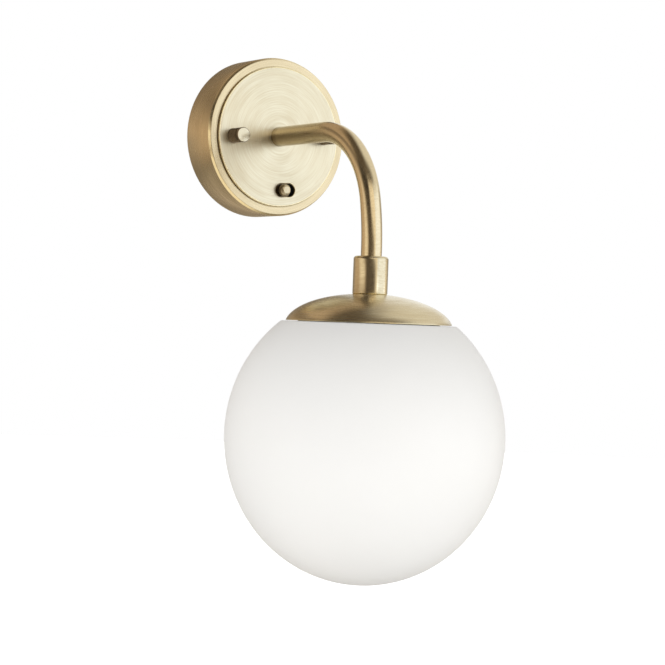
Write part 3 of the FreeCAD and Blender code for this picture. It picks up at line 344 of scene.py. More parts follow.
def extrude(x=0, y=0, z=0):
    """Extrudes what is selected and moves its new end."""
    bpy.ops.mesh.extrude_region_move(TRANSFORM_OT_translate={"value": (x, y, z)})


def widen(axis, amount, centre):
    """Scales what is selected across an axis, from a centre."""
    across = (amount, 1, amount) if axis == "Y" else (amount, amount, 1)
    bpy.ops.transform.resize(value=across, center_override=centre)


def turned(name, axis, origin, outline, around, closed=True):
    """Extrudes a ring from point to point of an outline, each (along, radius)."""
    clear_selection()
    base = origin - AXIS[axis] * origin.dot(AXIS[axis])
    along, radius = outline[0]
    bpy.ops.mesh.primitive_circle_add(vertices=around, radius=radius, rotation=FACING[axis],
                                      location=base + AXIS[axis] * along)
    piece = edit_new(name)
    for new_along, new_radius in outline[1:] + (outline[:1] if closed else []):
        extrude(*AXIS[axis] * (new_along - along))
        if new_radius == 0:
            bpy.ops.mesh.merge(type="CENTER")
        elif new_radius != radius:
            widen(axis, new_radius / radius, base + AXIS[axis] * new_along)
        along, radius = new_along, new_radius
    bpy.ops.mesh.select_all(action="SELECT")
    bpy.ops.mesh.remove_doubles(threshold=MERGE)
    return piece


def oval(centre, half_width, half_height, start, end, steps):
    """Outline points on an upright oval, from one height angle to another."""
    turns = [start + (end - start) * i / steps for i in range(steps + 1)]
    return [(centre + half_height * sin(turn), half_width * cos(turn)) for turn in turns]


def use_modifier(piece, kind, smooth=SMOOTH, **settings):
    """Adds a modifier with its settings, applies it and smooths the faces."""
    modifier = piece.modifiers.new(kind.title(), kind)
    for key, item in settings.items():
        setattr(modifier, key, item)
    bpy.ops.object.modifier_apply(modifier=modifier.name)
    smooth_faces(smooth)


def give_wall(piece, thickness, smooth=SMOOTH):
    """Gives a thin shell its wall, on the inside."""
    use_modifier(piece, "SOLIDIFY", smooth, thickness=thickness, offset=-1,
                 use_even_offset=True)


def place(piece, finish, body, slot, *nodes):
    """Gives a finished piece its finish, its body and the nodes it stands for; the slot is not
    used.
    """
    marks = [face.material_index for face in piece.data.polygons]
    piece.data.materials.clear()
    piece.data.materials.append(FINISHES[finish])
    if max(marks) > 0:
        piece.data.materials.append(FINISHES["brass_edge"])
        piece.data.polygons.foreach_set("material_index", marks)
    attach(piece, body)
    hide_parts(*nodes)


# ---------------------------------------------------------------- material building

def add(tree, kind, inputs=None, **settings):
    """A shader node; each of its inputs is set to a value or linked to a socket."""
    made = tree.nodes.new("ShaderNode" + kind)
    for key, item in settings.items():
        setattr(made, key, item)
    for key, item in (inputs or {}).items():
        if isinstance(item, bpy.types.NodeSocket):
            tree.links.new(item, made.inputs[key])
        else:
            made.inputs[key].default_value = item
    return made


def maths(tree, operation, first, second=0.0):
    """The result of a Math node."""
    return add(tree, "Math", {0: first, 1: second}, operation=operation).outputs[0]


def vector_maths(tree, operation, first, second=(0, 0, 0), output="Vector", scale=None):
    """The result of a Vector Math node."""
    inputs = {0: first} if operation in ("LENGTH", "NORMALIZE") else {0: first, 1: second}
    if scale is not None:
        inputs = {0: first, "Scale": scale}
    return add(tree, "VectorMath", inputs, operation=operation).outputs[output]


def blend(tree, share, first, second):
    """A colour between two others."""
    return add(tree, "Mix", {0: share, 6: first, 7: second}, data_type="RGBA").outputs[2]


def between(tree, share, first, second):
    """A value between two others."""
    return add(tree, "Mix", {0: share, 2: first, 3: second}, data_type="FLOAT").outputs[0]


def spread(tree, share, low, high, start=0.0, end=1.0):
    """A value moved from one range to another."""
    return add(tree, "MapRange", {0: share, 1: start, 2: end, 3: low, 4: high}).outputs[0]


def noise(tree, vector, scale, detail=2.0, rough=0.5):
    """The value of a three-dimensional noise."""
    return add(tree, "TexNoise", {"Vector": vector, "Scale": scale, "Detail": detail,
                                  "Roughness": rough}).outputs[0]


def parts(tree, vector):
    """The X, Y and Z of a vector."""
    return add(tree, "SeparateXYZ", {"Vector": vector}).outputs


def bump(tree, height, strength, distance):
    """A normal raised by a height."""
    return add(tree, "Bump", {"Strength": strength, "Distance": distance,
                              "Height": height}).outputs[0]


def object_position(tree):
    """Object coordinates."""
    return add(tree, "TexCoord").outputs["Object"]


def new_group(name, values):
    """An empty node group for a finish, with a position, two colours and named values."""
    tree = bpy.data.node_groups.new(name, "ShaderNodeTree")

    def socket(label, kind, way="INPUT"):
        return tree.interface.new_socket(name=label, in_out=way,
                                         socket_type="NodeSocket" + kind)

    socket("Position", "Vector")
    socket("Light", "Color")
    socket("Deep", "Color")
    for label, default in {**values, "Roughness": 0.3, "Roughness spread": 0.1,
                           "Relief": 0.1}.items():
        kind = "Vector" if isinstance(default, tuple) else "Float"
        socket(label, kind).default_value = default
    for label, kind in (("Colour", "Color"), ("Roughness", "Float"), ("Normal", "Vector")):
        socket(label, kind, "OUTPUT")
    return tree, tree.nodes.new("NodeGroupInput").outputs


def finish_group(tree, inside, shade, mask, height, distance):
    """Links a group's outputs: shade mixes the colours and mask sways the roughness."""
    result = tree.nodes.new("NodeGroupOutput").inputs
    swing = maths(tree, "MULTIPLY", maths(tree, "SUBTRACT", mask, 0.5),
                  inside["Roughness spread"])
    tree.links.new(blend(tree, shade, inside["Light"], inside["Deep"]), result["Colour"])
    tree.links.new(maths(tree, "ADD", inside["Roughness"], swing), result["Roughness"])
    tree.links.new(bump(tree, height, inside["Relief"], distance), result["Normal"])
    return tree


def brushed_group():
    """Metal brushed in rings round an axis: fine strokes, broad bands and faint clouds."""
    tree, inside = new_group("brushed_in_rings", {
        "Across": (1, 1, 0), "Strokes per metre": 3000.0, "Stroke spread": 3.0,
        "Band share": 0.3, "Contrast": 0.5})
    position = inside["Position"]
    flat = vector_maths(tree, "MULTIPLY", position, inside["Across"])
    radius = vector_maths(tree, "LENGTH", flat, output="Value")
    heading = vector_maths(tree, "NORMALIZE", flat)
    along = vector_maths(tree, "SUBTRACT", position, flat)
    ring = vector_maths(tree, "SCALE", heading, scale=inside["Stroke spread"])

    def strokes(share, detail):
        fine = maths(tree, "MULTIPLY", inside["Strokes per metre"], share)
        vector = vector_maths(tree, "ADD", ring, vector_maths(tree, "SCALE", along, scale=fine))
        return add(tree, "TexNoise", {
            "Vector": vector, "W": maths(tree, "MULTIPLY", radius, fine), "Scale": 1.0,
            "Detail": detail, "Roughness": 0.6}, noise_dimensions="4D").outputs[0]

    fine = strokes(1.0, 2.0)
    broad = between(tree, inside["Band share"], fine, strokes(0.16, 1.0))
    mixed = between(tree, 0.15, broad, noise(tree, position, 45.0))
    mask = spread(tree, mixed, 0.0, 1.0, 0.36, 0.64)
    shade = maths(tree, "MULTIPLY", mask, inside["Contrast"])
    return finish_group(tree, inside, shade, mask, fine, 0.05 * MM)


def mottled_group():
    """Clouds and fine speckle: plated steel, moulded plastic and glass use it."""
    tree, inside = new_group("mottled", {
        "Cloud scale": 120.0, "Grain scale": 2500.0, "Grain share": 0.3})
    position = inside["Position"]
    clouds = noise(tree, position, inside["Cloud scale"], 3.0, 0.55)
    grain = noise(tree, position, inside["Grain scale"], 1.0)
    mixed = between(tree, inside["Grain share"], spread(tree, clouds, 0.0, 1.0, 0.35, 0.65),
                    spread(tree, grain, 0.0, 1.0, 0.3, 0.7))
    return finish_group(tree, inside, mixed, mixed, grain, 0.03 * MM)


def new_material(name):
    """A material, its node tree and its Principled shader."""
    made = bpy.data.materials.new(name)
    made.use_nodes = True
    return made, made.node_tree, made.node_tree.nodes["Principled BSDF"]


def dress(tree, shader, group, inputs, constants):
    """Places a finish group, feeds the shader from it and sets its constant sockets."""
    outputs = add(tree, "Group", inputs, node_tree=group).outputs
    tree.links.new(outputs["Colour"], shader.inputs["Base Color"])
    tree.links.new(outputs["Roughness"], shader.inputs["Roughness"])
    tree.links.new(outputs["Normal"], shader.inputs["Normal"])
    for key, item in constants.items():
        shader.inputs[key].default_value = item
    return outputs["Colour"]


# What counts as the distance from the axis: the strokes lie on balls or on tubes round it.
STROKES_LIE = {"Y": (1, 1, 1), "Z": (1, 1, 0)}
# The arm's painted shade is darkest where it leaves the plate: how much, and how far that
# reaches.
ROOT_PAINTED_SHADE, ROOT_LENGTH = 0.7, 9 * MM


def brass_material(name, group, colours, axis, centre, light=None, strokes=2600, bands=0.3,
                   contrast=0.6, roughness=0.3, relief=0.12, anisotropic=0.55, patina=None):
    """Brushed antique brass, with its strokes in rings round the axis of a piece.

    Painted shade is a range: what it follows, its share at both ends, and where these lie.
    With no centre, the material follows the arm by its attribute and UV map, and paints
    more shade at the arm's root.
    """
    made, tree, shader = new_material(name)
    if centre is None:
        position = add(tree, "Attribute", attribute_name="grain").outputs["Vector"]
    else:
        position = add(tree, "Mapping", {"Vector": object_position(tree), "Location": centre},
                       vector_type="TEXTURE").outputs[0]
    tone = dress(tree, shader, group, {
        "Position": position, "Across": STROKES_LIE[axis], "Strokes per metre": strokes,
        "Stroke spread": 2.5, "Band share": bands, "Light": light or colours.brass,
        "Deep": colours.brass_deep, "Contrast": contrast, "Roughness": roughness,
        "Roughness spread": 0.1, "Relief": relief},
        {"Metallic": 1.0, "Coat Weight": 0.12, "Coat Roughness": 0.22,
         "Anisotropic": anisotropic})
    # Painted shade: the brass is blended towards a dark colour where the range's mask is high.
    if patina:
        follows, *steps = patina
        if follows == "OUT":
            flat = vector_maths(tree, "MULTIPLY", position, (1, 0, 1))
            reached = vector_maths(tree, "LENGTH", flat, output="Value")
        else:
            reached = parts(tree, position)[follows]
        mask = spread(tree, reached, *steps)
        if centre is None:
            root = spread(tree, reached, ROOT_PAINTED_SHADE, 0.0, 0.0, ROOT_LENGTH)
            mask = maths(tree, "MAXIMUM", mask, root)
        tree.links.new(blend(tree, mask, tone, colours.patina), shader.inputs["Base Color"])
    if centre is None:
        tangent = add(tree, "Tangent", direction_type="UV_MAP", uv_map="along_tube")
    else:
        shader.inputs["Anisotropic Rotation"].default_value = 0.25
        tangent = add(tree, "Tangent", direction_type="RADIAL", axis=axis)
    tree.links.new(tangent.outputs[0], shader.inputs["Tangent"])
    return made


def mottled_material(name, group, light, deep, look, constants):
    """A plated, moulded or blown finish with clouds and grain."""
    made, tree, shader = new_material(name)
    dress(tree, shader, group, {"Position": object_position(tree), "Light": light,
                                "Deep": deep, **look}, constants)
    return made


def deeper(tone, share):
    """A darker version of a colour."""
    return [channel * share for channel in tone[:3]] + [1]


def brass_finishes(colours):
    """The brushed brass of each piece."""
    rings = brushed_group()
    made = {}

    def brass(name, axis, centre, **look):
        made[name] = brass_material(name, rings, colours, axis, centre, **look)

    edge = half("knurled_nut_left").z
    # Painted shade on the nut and knob sides, darker all round than their faces.
    painted_nut_shade = ("OUT", 0.0, 0.9, edge - 0.45 * MM, edge - 0.4 * MM)
    painted_knob_shade = ("OUT", 0.0, 0.85, 2.6 * MM, 3.62 * MM)
    # Painted shade on the plate's edge, in the groove behind its front.
    groove = ("Y", 0.0, 0.92, PLATE_FRONT + 0.45 * MM, PLATE_FRONT + 0.55 * MM)
    # Painted shade along the arm's straight run, fading out into the bend.
    run = ("Z", 0.22, 0.0, 30 * MM, 85 * MM)
    brass("brass_drum", "Y", WALL_AXIS, light=colours.brass_rich, contrast=0.7,
          roughness=0.28, relief=0.08, anisotropic=0.5)
    brass("brass_plate", "Y", WALL_AXIS, light=colours.brass_pale, strokes=3600, bands=0.18,
          contrast=0.5, roughness=0.34, relief=0.06, patina=groove)
    for side in ("left", "right"):
        brass("brass_nut_" + side, "Y", middle("knurled_nut_" + side), contrast=0.2,
              light=colours.brass_pale, anisotropic=0.0, patina=painted_nut_shade)
    brass("brass_knob", "Y", middle("switch_lever"), roughness=0.34, anisotropic=0.2,
          patina=painted_knob_shade)
    brass("brass_arm", "Z", None, light=colours.brass_warm, strokes=1500, contrast=0.4,
          roughness=0.21, relief=0.01, anisotropic=0.5, patina=run)
    brass("brass_collar", "Z", LAMP_AXIS, strokes=3600, contrast=0.75, roughness=0.2,
          relief=0.04, anisotropic=0.4)
    brass("brass_cap", "Z", LAMP_AXIS, strokes=1900, contrast=0.75, roughness=0.28,
          relief=0.04, anisotropic=0.5)
    return made


def mottled_finishes(colours):
    """The polished, plated, moulded and blown finishes."""
    mottled = mottled_group()
    polished = {"Cloud scale": 300.0, "Grain scale": 2500.0, "Roughness": 0.24,
                "Roughness spread": 0.1, "Relief": 0.05}
    plated = {"Cloud scale": 220.0, "Grain scale": 3000.0, "Roughness": 0.33,
              "Roughness spread": 0.16, "Relief": 0.12}
    moulded = {"Cloud scale": 90.0, "Grain scale": 2200.0, "Roughness": 0.42,
               "Roughness spread": 0.12, "Relief": 0.25, "Grain share": 0.5}
    opal = {"Cloud scale": 16.0, "Grain scale": 900.0, "Grain share": 0.15,
            "Roughness": 0.46, "Roughness spread": 0.05, "Relief": 0.04}
    frosted = {"Cloud scale": 40.0, "Grain scale": 1500.0, "Grain share": 0.3,
               "Roughness": 0.3, "Roughness spread": 0.08, "Relief": 0.05}
    metal = {"Metallic": 1.0}
    table = (
        # Polished edges: lower roughness, and a lighter colour that is a painted highlight.
        ("brass_edge", colours.edge, deeper(colours.edge, 0.85), polished, metal),
        ("zinc_steel", colours.zinc, colours.zinc_deep, plated, metal),
        ("spring_steel", colours.spring, deeper(colours.spring, 0.6),
         {**plated, "Roughness": 0.28}, metal),
        ("bare_brass", colours.bare_brass, deeper(colours.bare_brass, 0.7), plated, metal),
        ("lamp_base_metal", colours.nickel, deeper(colours.nickel, 0.75), plated, metal),
        ("black_plastic", colours.black, deeper(colours.black, 0.6), moulded, {}),
        ("white_plastic", colours.white, deeper(colours.white, 0.93), moulded, {}),
        ("flex_sheath", colours.sheath, deeper(colours.sheath, 0.92), moulded, {}),
        ("brown_sleeve", colours.brown, deeper(colours.brown, 0.8), moulded, {}),
        ("opal_glass", colours.opal, deeper(colours.opal, 0.985), opal,
         {"Specular IOR Level": 0.35}),
        ("bulb_glass", colours.bulb, deeper(colours.bulb, 0.97), frosted, {}))
    return {name: mottled_material(name, mottled, light, deep, look, constants)
            for name, light, deep, look, constants in table}


def earth_finish(colours):
    """Green sleeve with a yellow stripe that winds along the wire."""
    made, tree, shader = new_material("earth_sleeve")
    position = object_position(tree)
    wave = add(tree, "TexWave", {"Vector": position, "Scale": 150.0, "Distortion": 0.4},
               wave_type="BANDS", bands_direction="DIAGONAL").outputs["Fac"]
    stripe = spread(tree, wave, 0.0, 1.0, 0.48, 0.54)
    grain = noise(tree, position, 1800.0)
    tree.links.new(blend(tree, stripe, colours.green, colours.yellow),
                   shader.inputs["Base Color"])
    tree.links.new(spread(tree, grain, 0.36, 0.48), shader.inputs["Roughness"])
    tree.links.new(bump(tree, grain, 0.15, 0.03 * MM), shader.inputs["Normal"])
    return made


FINISHES = {}


# ---------------------------------------------------------------- operators

class SCONCE_OT_finishes(bpy.types.Operator):
    """Makes the finishes and gives them to the pieces that stay as constructed"""

    bl_idname = "sconce.finishes"
    bl_label = "Finishes"

    def execute(self, context):
        colours = context.scene.sconce_colours
        FINISHES.update(brass_finishes(colours))
        FINISHES.update(mottled_finishes(colours))
        FINISHES["earth_sleeve"] = earth_finish(colours)
        FINISHES["antique_brass"] = FINISHES["brass_collar"]
        for piece in frame["nodes"].values():
            piece.data.materials[0] = FINISHES[piece.data.materials[0].name]
        return {"FINISHED"}


class SCONCE_OT_canopy(bpy.types.Operator):
    """Spins the drum that stands on the wall"""

    bl_idname = "sconce.canopy"
    bl_label = "Canopy"

    def execute(self, context):
        sizes = context.scene.sconce_sizes
        radius, wall, front = sizes.canopy_radius, sizes.canopy_wall, CANOPY_FRONT
        band_back, band_inside = front + sizes.band_depth, radius - sizes.band_width
        piece = turned("canopy_drum", "Y", WALL_AXIS, [
            (0, radius), (band_back, radius), (front, band_inside),
            (front, sizes.canopy_mouth), (front + wall, sizes.canopy_mouth),
            (front + wall, radius - wall), (0, radius - wall)], sizes.around)
        bevel_rings(piece, "Y", WALL_AXIS, [(band_back, radius), (front, band_inside)],
                    sizes.band_round, 4)
        # The drum's polished band takes the edge finish with its painted highlight.
        choose(piece, "faces", lambda face: all(
            vertex.co.y < band_back + NEAR and from_centre(vertex) > band_inside - NEAR
            for vertex in face.verts))
        polish_and_highlight(piece)
        bevel_rings(piece, "Y", WALL_AXIS, [(0, radius), (0, radius - wall)], wall / 6, 2)
        bevel_rings(piece, "Y", WALL_AXIS, [(front + wall, radius - wall)], wall / 2, 3)
        close_edit()
        place(piece, "brass_drum", "root", "antique_brass", "canopy")
        return {"FINISHED"}


class SCONCE_OT_face_plate(bpy.types.Operator):
    """Cuts the face plate with its slot and holes"""

    bl_idname = "sconce.face_plate"
    bl_label = "Face plate"

    def execute(self, context):
        sizes = context.scene.sconce_sizes
        slot = on_wall(middle("switch_lever") + SLIDE_WAY * SLIDE_TRAVEL / 2)
        slot.y = PLATE_FRONT
        slot_radius = sizes.slot_width / 2
        stretch = (sizes.slot_length - sizes.slot_width) / 2
        piece = self.cut(sizes, slot, slot_radius, stretch)
        self.thicken(piece, sizes)
        # The plate's front chamfer takes the edge finish with its painted highlight.
        bevel_rings(piece, "Y", WALL_AXIS, [(PLATE_FRONT + sizes.plate_fall,
                                             sizes.plate_radius)], sizes.plate_chamfer, 4, True)

        def on_slot(vertex):
            off = vertex.co - slot
            run = max(0.0, abs(off.dot(SLIDE_WAY)) - stretch)
            rise = off.dot(Vector((-SLIDE_WAY.z, 0, SLIDE_WAY.x)))
            return abs(off.y) < NEAR and abs(hypot(run, rise) - slot_radius) < NEAR

        choose(piece, "edges", lambda edge: all(on_slot(vertex) for vertex in edge.verts))
        bpy.ops.mesh.bevel(offset=sizes.slot_edge, segments=3, affect="EDGES")
        # The slot's edge takes the edge finish with its painted highlight.
        polish_and_highlight(piece)
        close_edit()
        place(piece, "brass_plate", "root", "antique_brass", "face_plate")
        return {"FINISHED"}

    @staticmethod
    def cut(sizes, slot, slot_radius, stretch):
        """The flat front, without its polished rim, with its holes."""
        def ring(radius, centre, vertices):
            bpy.ops.mesh.primitive_circle_add(vertices=vertices, radius=radius,
                                              location=centre, rotation=FACING["Y"])

        front = Vector((0, PLATE_FRONT, 0))
        clear_selection()
        ring(sizes.plate_radius - sizes.plate_rim, front, sizes.around)
        piece = edit_new("face_plate_disc")
        bpy.ops.mesh.select_all(action="DESELECT")
        ring(sizes.nipple_radius, front, sizes.tube_around)
        for node in ("knurled_nut_left", "knurled_nut_right"):
            ring(sizes.stud_hole, front + on_wall(middle(node)), sizes.hole_around)
        ring(slot_radius, slot, sizes.tube_around)
        for side in (-1, 1):
            choose(piece, "verts", lambda vertex: (
                (vertex.co - slot).length < slot_radius + NEAR
                and (vertex.co - slot).dot(SLIDE_WAY) * side > -NEAR * side))
            bpy.ops.transform.translate(value=SLIDE_WAY * stretch * side)
        bpy.ops.mesh.select_all(action="SELECT")
        bpy.ops.mesh.fill(use_beauty=True)
        return piece

    @staticmethod
    def thicken(piece, sizes):
        """The polished rim, the plate's edge and the shadow groove behind it."""
        rim, rebate = sizes.plate_radius - sizes.plate_rim, sizes.plate_rebate
        choose_rings(piece, "Y", WALL_AXIS, [(PLATE_FRONT, rim)])
        extrude(y=sizes.plate_fall)
        widen("Y", sizes.plate_radius / rim, WALL_AXIS)
        # The plate's rim takes the edge finish with its painted highlight.
        choose(piece, "faces", lambda face: all(
            from_centre(vertex) > rim - NEAR for vertex in face.verts))
        polish_and_highlight(piece)
        edge = CANOPY_FRONT - PLATE_FRONT - rebate
        lip = rebate / 8
        waist = PLATE_FRONT + edge + lip
        bpy.ops.mesh.select_all(action="SELECT")
        extrude(y=edge)
        bpy.ops.transform.resize(value=(1, 0, 1), center_override=(0, PLATE_FRONT + edge, 0))
        extrude(y=lip)
        choose(piece, "verts", lambda vertex: abs(vertex.co.y - waist) < NEAR and
               from_centre(vertex) > sizes.plate_radius - NEAR)
        widen("Y", (sizes.plate_radius - rebate) / sizes.plate_radius, WALL_AXIS)
        choose(piece, "faces", lambda face: all(abs(vertex.co.y - waist) < NEAR
                                                for vertex in face.verts))
        extrude(y=rebate - lip)


# A diamond of the knurl: how many facets it is wide, and how much longer than wide.
KNURL_GRID = 4
KNURL_STRETCH = 1.2


class SCONCE_OT_knurled_nuts(bpy.types.Operator):
    """Turns and knurls the two nuts that hold the face plate"""

    bl_idname = "sconce.knurled_nuts"
    bl_label = "Knurled nuts"

    def execute(self, context):
        sizes = context.scene.sconce_sizes
        for side in ("left", "right"):
            self.nut("knurled_nut_" + side, "brass_nut_" + side, "nut_" + side, sizes)
        return {"FINISHED"}

    def nut(self, node, finish, body, sizes):
        """One nut: its grid of facets, the knurl, the chamfers and the bore."""
        low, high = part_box(node)
        tip, seat = low.y, high.y
        axis, radius = on_wall(middle(node)), half(node).z
        knurl_end = tip + sizes.nut_rim + sizes.nut_groove
        diamond = 2 * pi * radius / sizes.knurl_points * KNURL_STRETCH
        rows = KNURL_GRID * round((seat - knurl_end) / diamond)
        step = (seat - knurl_end) / rows
        groove = radius - sizes.nut_groove_depth
        outline = [(seat, sizes.nut_bore)] + [(seat - step * i, radius) for i in range(rows + 1)]
        outline += [(knurl_end, groove), (tip + sizes.nut_rim, groove),
                    (tip + sizes.nut_rim, radius), (tip, radius), (tip, 0)]
        piece = turned(node + "_turned", "Y", axis, outline,
                       sizes.knurl_points * KNURL_GRID, False)
        self.knurl(piece, axis, radius, seat, step, rows, sizes)
        bevel_rings(piece, "Y", axis, [(tip, radius)], sizes.nut_chamfer, 2)
        bevel_rings(piece, "Y", axis, [(tip + sizes.nut_rim, radius)], sizes.nut_chamfer / 3, 2)
        choose_rings(piece, "Y", axis, [(seat, sizes.nut_bore)])
        extrude(y=tip + sizes.nut_end - seat)
        extrude()
        bpy.ops.mesh.merge(type="CENTER")
        close_edit()
        place(piece, finish, body, "antique_brass", node)

    @staticmethod
    def knurl(piece, axis, radius, seat, step, rows, sizes):
        """Sinks the crossing grooves: grid corners step down between the diamond points."""
        sector = 2 * pi / (sizes.knurl_points * KNURL_GRID)

        def in_band(vertex):
            along, out = spot(vertex.co, "Y", axis)
            return abs(out - radius) < NEAR and seat - step * rows + NEAR < along < seat - NEAR

        def depth_share(vertex):
            off = vertex.co - axis
            turn, row = round(atan2(off.z, off.x) / sector), round((seat - off.y) / step)
            if KNURL_GRID / 2 in ((turn + row) % KNURL_GRID, (turn - row) % KNURL_GRID):
                return 2
            return (turn + row) % 2

        for share in (1, 2):
            choose(piece, "verts", lambda vertex: in_band(vertex)
                   and depth_share(vertex) == share)
            widen("Y", (radius - sizes.knurl_depth * share / 2) / radius, axis)


class SCONCE_OT_switch_knob(bpy.types.Operator):
    """Turns the switch's knob on its slider"""

    bl_idname = "sconce.switch_knob"
    bl_label = "Switch knob"

    def execute(self, context):
        sizes = context.scene.sconce_sizes
        axis = on_wall(middle("switch_lever"))
        slider_front = SLIDER_BACK - sizes.slider_depth
        clear_selection()
        lean = Euler((0, atan2(-SLIDE_WAY.z, SLIDE_WAY.x), 0))
        bpy.ops.mesh.primitive_cube_add(
            size=1, location=axis + Vector((0, (SLIDER_BACK + slider_front) / 2, 0)),
            rotation=lean, scale=(sizes.slider_length, sizes.slider_depth, sizes.slider_width))
        slider = edit_new("switch_slider")
        bpy.ops.mesh.bevel(offset=sizes.slider_depth / 8, segments=2, affect="EDGES")
        close_edit()
        radius, root = sizes.knob_radius, slider_front + sizes.slider_depth / 3
        knob = turned("switch_knob", "Y", axis, [
            (root, radius), (KNOB_TIP, radius), (KNOB_TIP, 0)], sizes.small_around, False)
        choose_rings(knob, "Y", axis, [(root, radius)])
        bpy.ops.mesh.edge_face_add()
        bevel_rings(knob, "Y", axis, [(KNOB_TIP, radius)], sizes.knob_chamfer, 8)
        close_edit()
        use_modifier(knob, "BOOLEAN", operation="UNION", solver="EXACT", object=slider)
        bpy.data.objects.remove(slider)
        place(knob, "brass_knob", "switch_lever", "antique_brass", "switch_lever")
        return {"FINISHED"}


BEND_STEPS, EASING_STEPS = 40, 10
UV_PER_METRE = 5


class SCONCE_OT_arm(bpy.types.Operator):
    """Draws the arm's tube and bends it down"""

    bl_idname = "sconce.arm"
    bl_label = "Arm"

    def execute(self, context):
        sizes = context.scene.sconce_sizes
        radius, turn = sizes.arm_radius, sizes.bend_turn
        run_end = PLATE_FRONT - sizes.arm_run
        piece = turned("arm_bent_tube", "Y", WALL_AXIS,
                       [(PLATE_FRONT, radius), (run_end, radius)], sizes.tube_around, False)
        choose_rings(piece, "Y", WALL_AXIS, [(run_end, radius)])
        bend = Vector((0, run_end, -sizes.bend_radius))
        easing = bend + Vector((0, sin(turn), -cos(turn))) * (
            sizes.easing_radius - sizes.bend_radius)
        for centre, swung, steps in ((bend, turn, BEND_STEPS),
                                     (easing, pi / 2 - turn, EASING_STEPS)):
            bpy.ops.mesh.spin(steps=steps, angle=swung, center=centre, axis=(-1, 0, 0),
                              use_normal_flip=False)
        extrude(z=COLLAR_TOP - sizes.arm_socket - easing.z)
        close_edit()
        give_wall(piece, sizes.arm_wall)
        self.follow(piece, bend, easing, sizes)
        place(piece, "brass_arm", "root", "antique_brass", "arm_tube")
        return {"FINISHED"}

    @staticmethod
    def follow(piece, bend, easing, sizes):
        """Stores each vertex's place on the tube before it was bent, for the grain."""
        turn = sizes.bend_turn
        grain = piece.data.attributes.new("grain", "FLOAT_VECTOR", "POINT")
        for vertex in piece.data.vertices:
            point = vertex.co
            in_bend, in_easing = point - bend, point - easing
            swung = atan2(-in_bend.y, in_bend.z)
            if point.y > bend.y:
                out, along = point.z, PLATE_FRONT - point.y
            elif swung < turn:
                out = hypot(in_bend.y, in_bend.z) - sizes.bend_radius
                along = sizes.arm_run + sizes.bend_radius * swung
            else:
                swung = min(pi / 2, atan2(-in_easing.y, in_easing.z))
                out = hypot(in_easing.y, in_easing.z) - sizes.easing_radius
                along = (sizes.arm_run + sizes.bend_radius * turn
                         + sizes.easing_radius * (swung - turn))
                if in_easing.z < 0:
                    out = -in_easing.y - sizes.easing_radius
                    along = along - in_easing.z
            grain.data[vertex.index].vector = (point.x, out, along)
        layer = piece.data.uv_layers.new(name="along_tube")
        for loop in piece.data.loops:
            side, out, along = grain.data[loop.vertex_index].vector
            layer.data[loop.index].uv = (along * UV_PER_METRE, atan2(side, out) / (2 * pi))


class SCONCE_OT_collar(bpy.types.Operator):
    """Turns the sleeve that joins the arm to the cap"""

    bl_idname = "sconce.collar"
    bl_label = "Collar"

    def execute(self, context):
        sizes = context.scene.sconce_sizes
        radius, bore = sizes.collar_radius, sizes.arm_radius + sizes.collar_play
        shelf = COLLAR_TOP - sizes.arm_socket
        piece = turned("collar_turned", "Z", LAMP_AXIS, [
            (CAP_TOP, sizes.nipple_radius), (CAP_TOP, radius), (COLLAR_TOP, radius),
            (COLLAR_TOP, bore), (shelf, bore), (shelf, sizes.nipple_radius)],
            sizes.collar_around)
        bevel_rings(piece, "Z", LAMP_AXIS, [(COLLAR_TOP, radius)], sizes.collar_round, 8)
        # The collar's foot takes the edge finish with its painted highlight.
        bevel_rings(piece, "Z", LAMP_AXIS, [(CAP_TOP, radius)], sizes.collar_chamfer, 3, True)
        bevel_rings(piece, "Z", LAMP_AXIS, [(COLLAR_TOP, bore)], sizes.collar_chamfer / 3, 2)
        close_edit()
        place(piece, "brass_collar", "root", "antique_brass", "collar")
        return {"FINISHED"}


CAP_STEPS, GLOBE_STEPS, BULB_STEPS = 40, 96, 48


class SCONCE_OT_cap(bpy.types.Operator):
    """Spins the shallow dome over the globe's neck"""

    bl_idname = "sconce.cap"
    bl_label = "Cap"

    def execute(self, context):
        sizes = context.scene.sconce_sizes
        wall, hole = sizes.cap_wall, sizes.nipple_radius
        wide, tall = sizes.cap_half_width, sizes.cap_half_height
        centre = CAP_TOP + sizes.cap_crown_cut - tall
        outer = oval(centre, wide, tall, asin((CAP_TOP - centre) / tall),
                     asin((CAP_RIM - centre) / tall), CAP_STEPS)
        inner = oval(centre, wide - wall, tall - wall,
                     asin((CAP_RIM - centre) / (tall - wall)),
                     asin((CAP_TOP - wall - centre) / (tall - wall)), CAP_STEPS)
        outline = [(CAP_TOP, hole)] + outer + inner + [(CAP_TOP - wall, hole)]
        piece = turned("cap_dome", "Z", LAMP_AXIS, outline, sizes.around)
        # The cap's rim takes the edge finish with its painted highlight.
        bevel_rings(piece, "Z", LAMP_AXIS, [outer[-1]], wall / 3, 3, True)
        bevel_rings(piece, "Z", LAMP_AXIS, [inner[0]], wall / 4, 2)
        close_edit()
        place(piece, "brass_cap", "root", "antique_brass", "cap")
        return {"FINISHED"}


